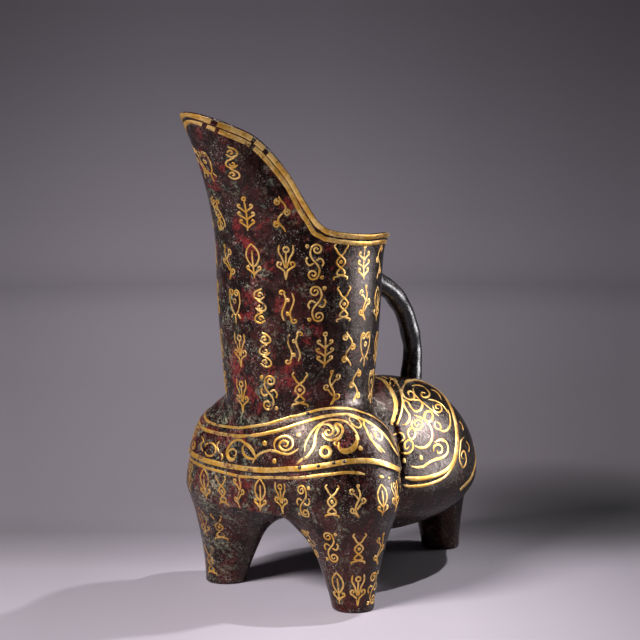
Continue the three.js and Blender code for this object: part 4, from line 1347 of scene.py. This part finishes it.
# Name, place, aim, size, power, colour, and whether it lights gloss only
AREA_LIGHTS = (
    ("key_left", LEFT_HEAD, VESSEL_MIDDLE, (0.5, 0.4), 34, WARM, False),
    ("sheen_left", LEFT_HEAD, VESSEL_MIDDLE, (0.4, 0.3), 24, (1, 0.985, 0.96), True),
    ("sheen_right", RIGHT_HEAD, VESSEL_MIDDLE, (0.5, 0.5), 32, COOL, True),
    ("low_right", LOW_HEAD, VESSEL_MIDDLE, (0.6, 0.2), 9, COOL, True),
    ("backdrop_wash", (0, 1.3, 1.5), (0, 3.0, 0.3), (0.5, 0.3), 5, WHITE, False))
SPOT_PLACE, SPOT_AIM, SPOT_POWER = (0.75, 0.28, 2.0), (0.05, -0.13, 0.0), 98
SPOT_DEGREES, SPOT_RADIUS = 24, 0.035
WORLD_COLOUR, WORLD_STRENGTH = (0.62, 0.6, 0.64, 1), 0.04


def look(direction):
    return Vector(direction).to_track_quat("-Z", "Y").to_euler()


def add_light(name, light, place, aim, power):
    start, end = (CAMERA_RIGHT * right + VIEW_AWAY * away + np.array([0, 0, z])
                  for right, away, z in (place, aim))
    light.energy = power
    obj = add_object(name, light)
    obj.location = start
    obj.rotation_euler = look(end - start)
    obj.visible_camera = False
    return obj


def add_lights():
    for name, place, aim, size, power, colour, gloss_only in AREA_LIGHTS:
        light = bpy.data.lights.new(name, "AREA")
        light.shape = "RECTANGLE"
        light.size, light.size_y = size
        light.color = colour
        add_light(name, light, place, aim, power).visible_diffuse = not gloss_only
    spot = bpy.data.lights.new("back_right", "SPOT")
    spot.spot_size = math.radians(SPOT_DEGREES)
    spot.spot_blend = 1.0
    spot.shadow_soft_size = SPOT_RADIUS
    add_light("back_right", spot, SPOT_PLACE, SPOT_AIM, SPOT_POWER)
    world = bpy.data.worlds.new("studio_world")
    bpy.context.scene.world = world
    world.use_nodes = True
    world.node_tree.nodes["Background"].inputs["Color"].default_value = WORLD_COLOUR
    world.node_tree.nodes["Background"].inputs["Strength"].default_value = WORLD_STRENGTH


def add_camera():
    data = bpy.data.cameras.new("camera")
    data.sensor_width = SENSOR_MM
    data.lens = FOCAL_PIXELS / FRAME_PIXELS * SENSOR_MM
    data.clip_end = 50
    camera = add_object("camera", data)
    camera.location = tuple((CAMERA_PLACE + np.array([AXIS_X, 0, 0])) / 1000)
    camera.rotation_euler = look(-CAMERA_BACK)
    bpy.context.scene.camera = camera


def main():
    bpy.context.scene.view_settings.view_transform = "Standard"
    add_camera()
    add_stage()
    add_lights()
    bronze, gold, dark = bronze_material(), gold_material(), handle_material()
    body_skin(bronze)
    neck_skin(bronze)
    handle_skin(dark)
    band_warts(dark)
    rim_inlays(gold)
    body_inlays(gold)
    belt_shadow_lines(ledge_shadow_material())
    scroll_inlays(gold)
    neck_ornaments(gold)
    leg_ornaments(gold)


main()
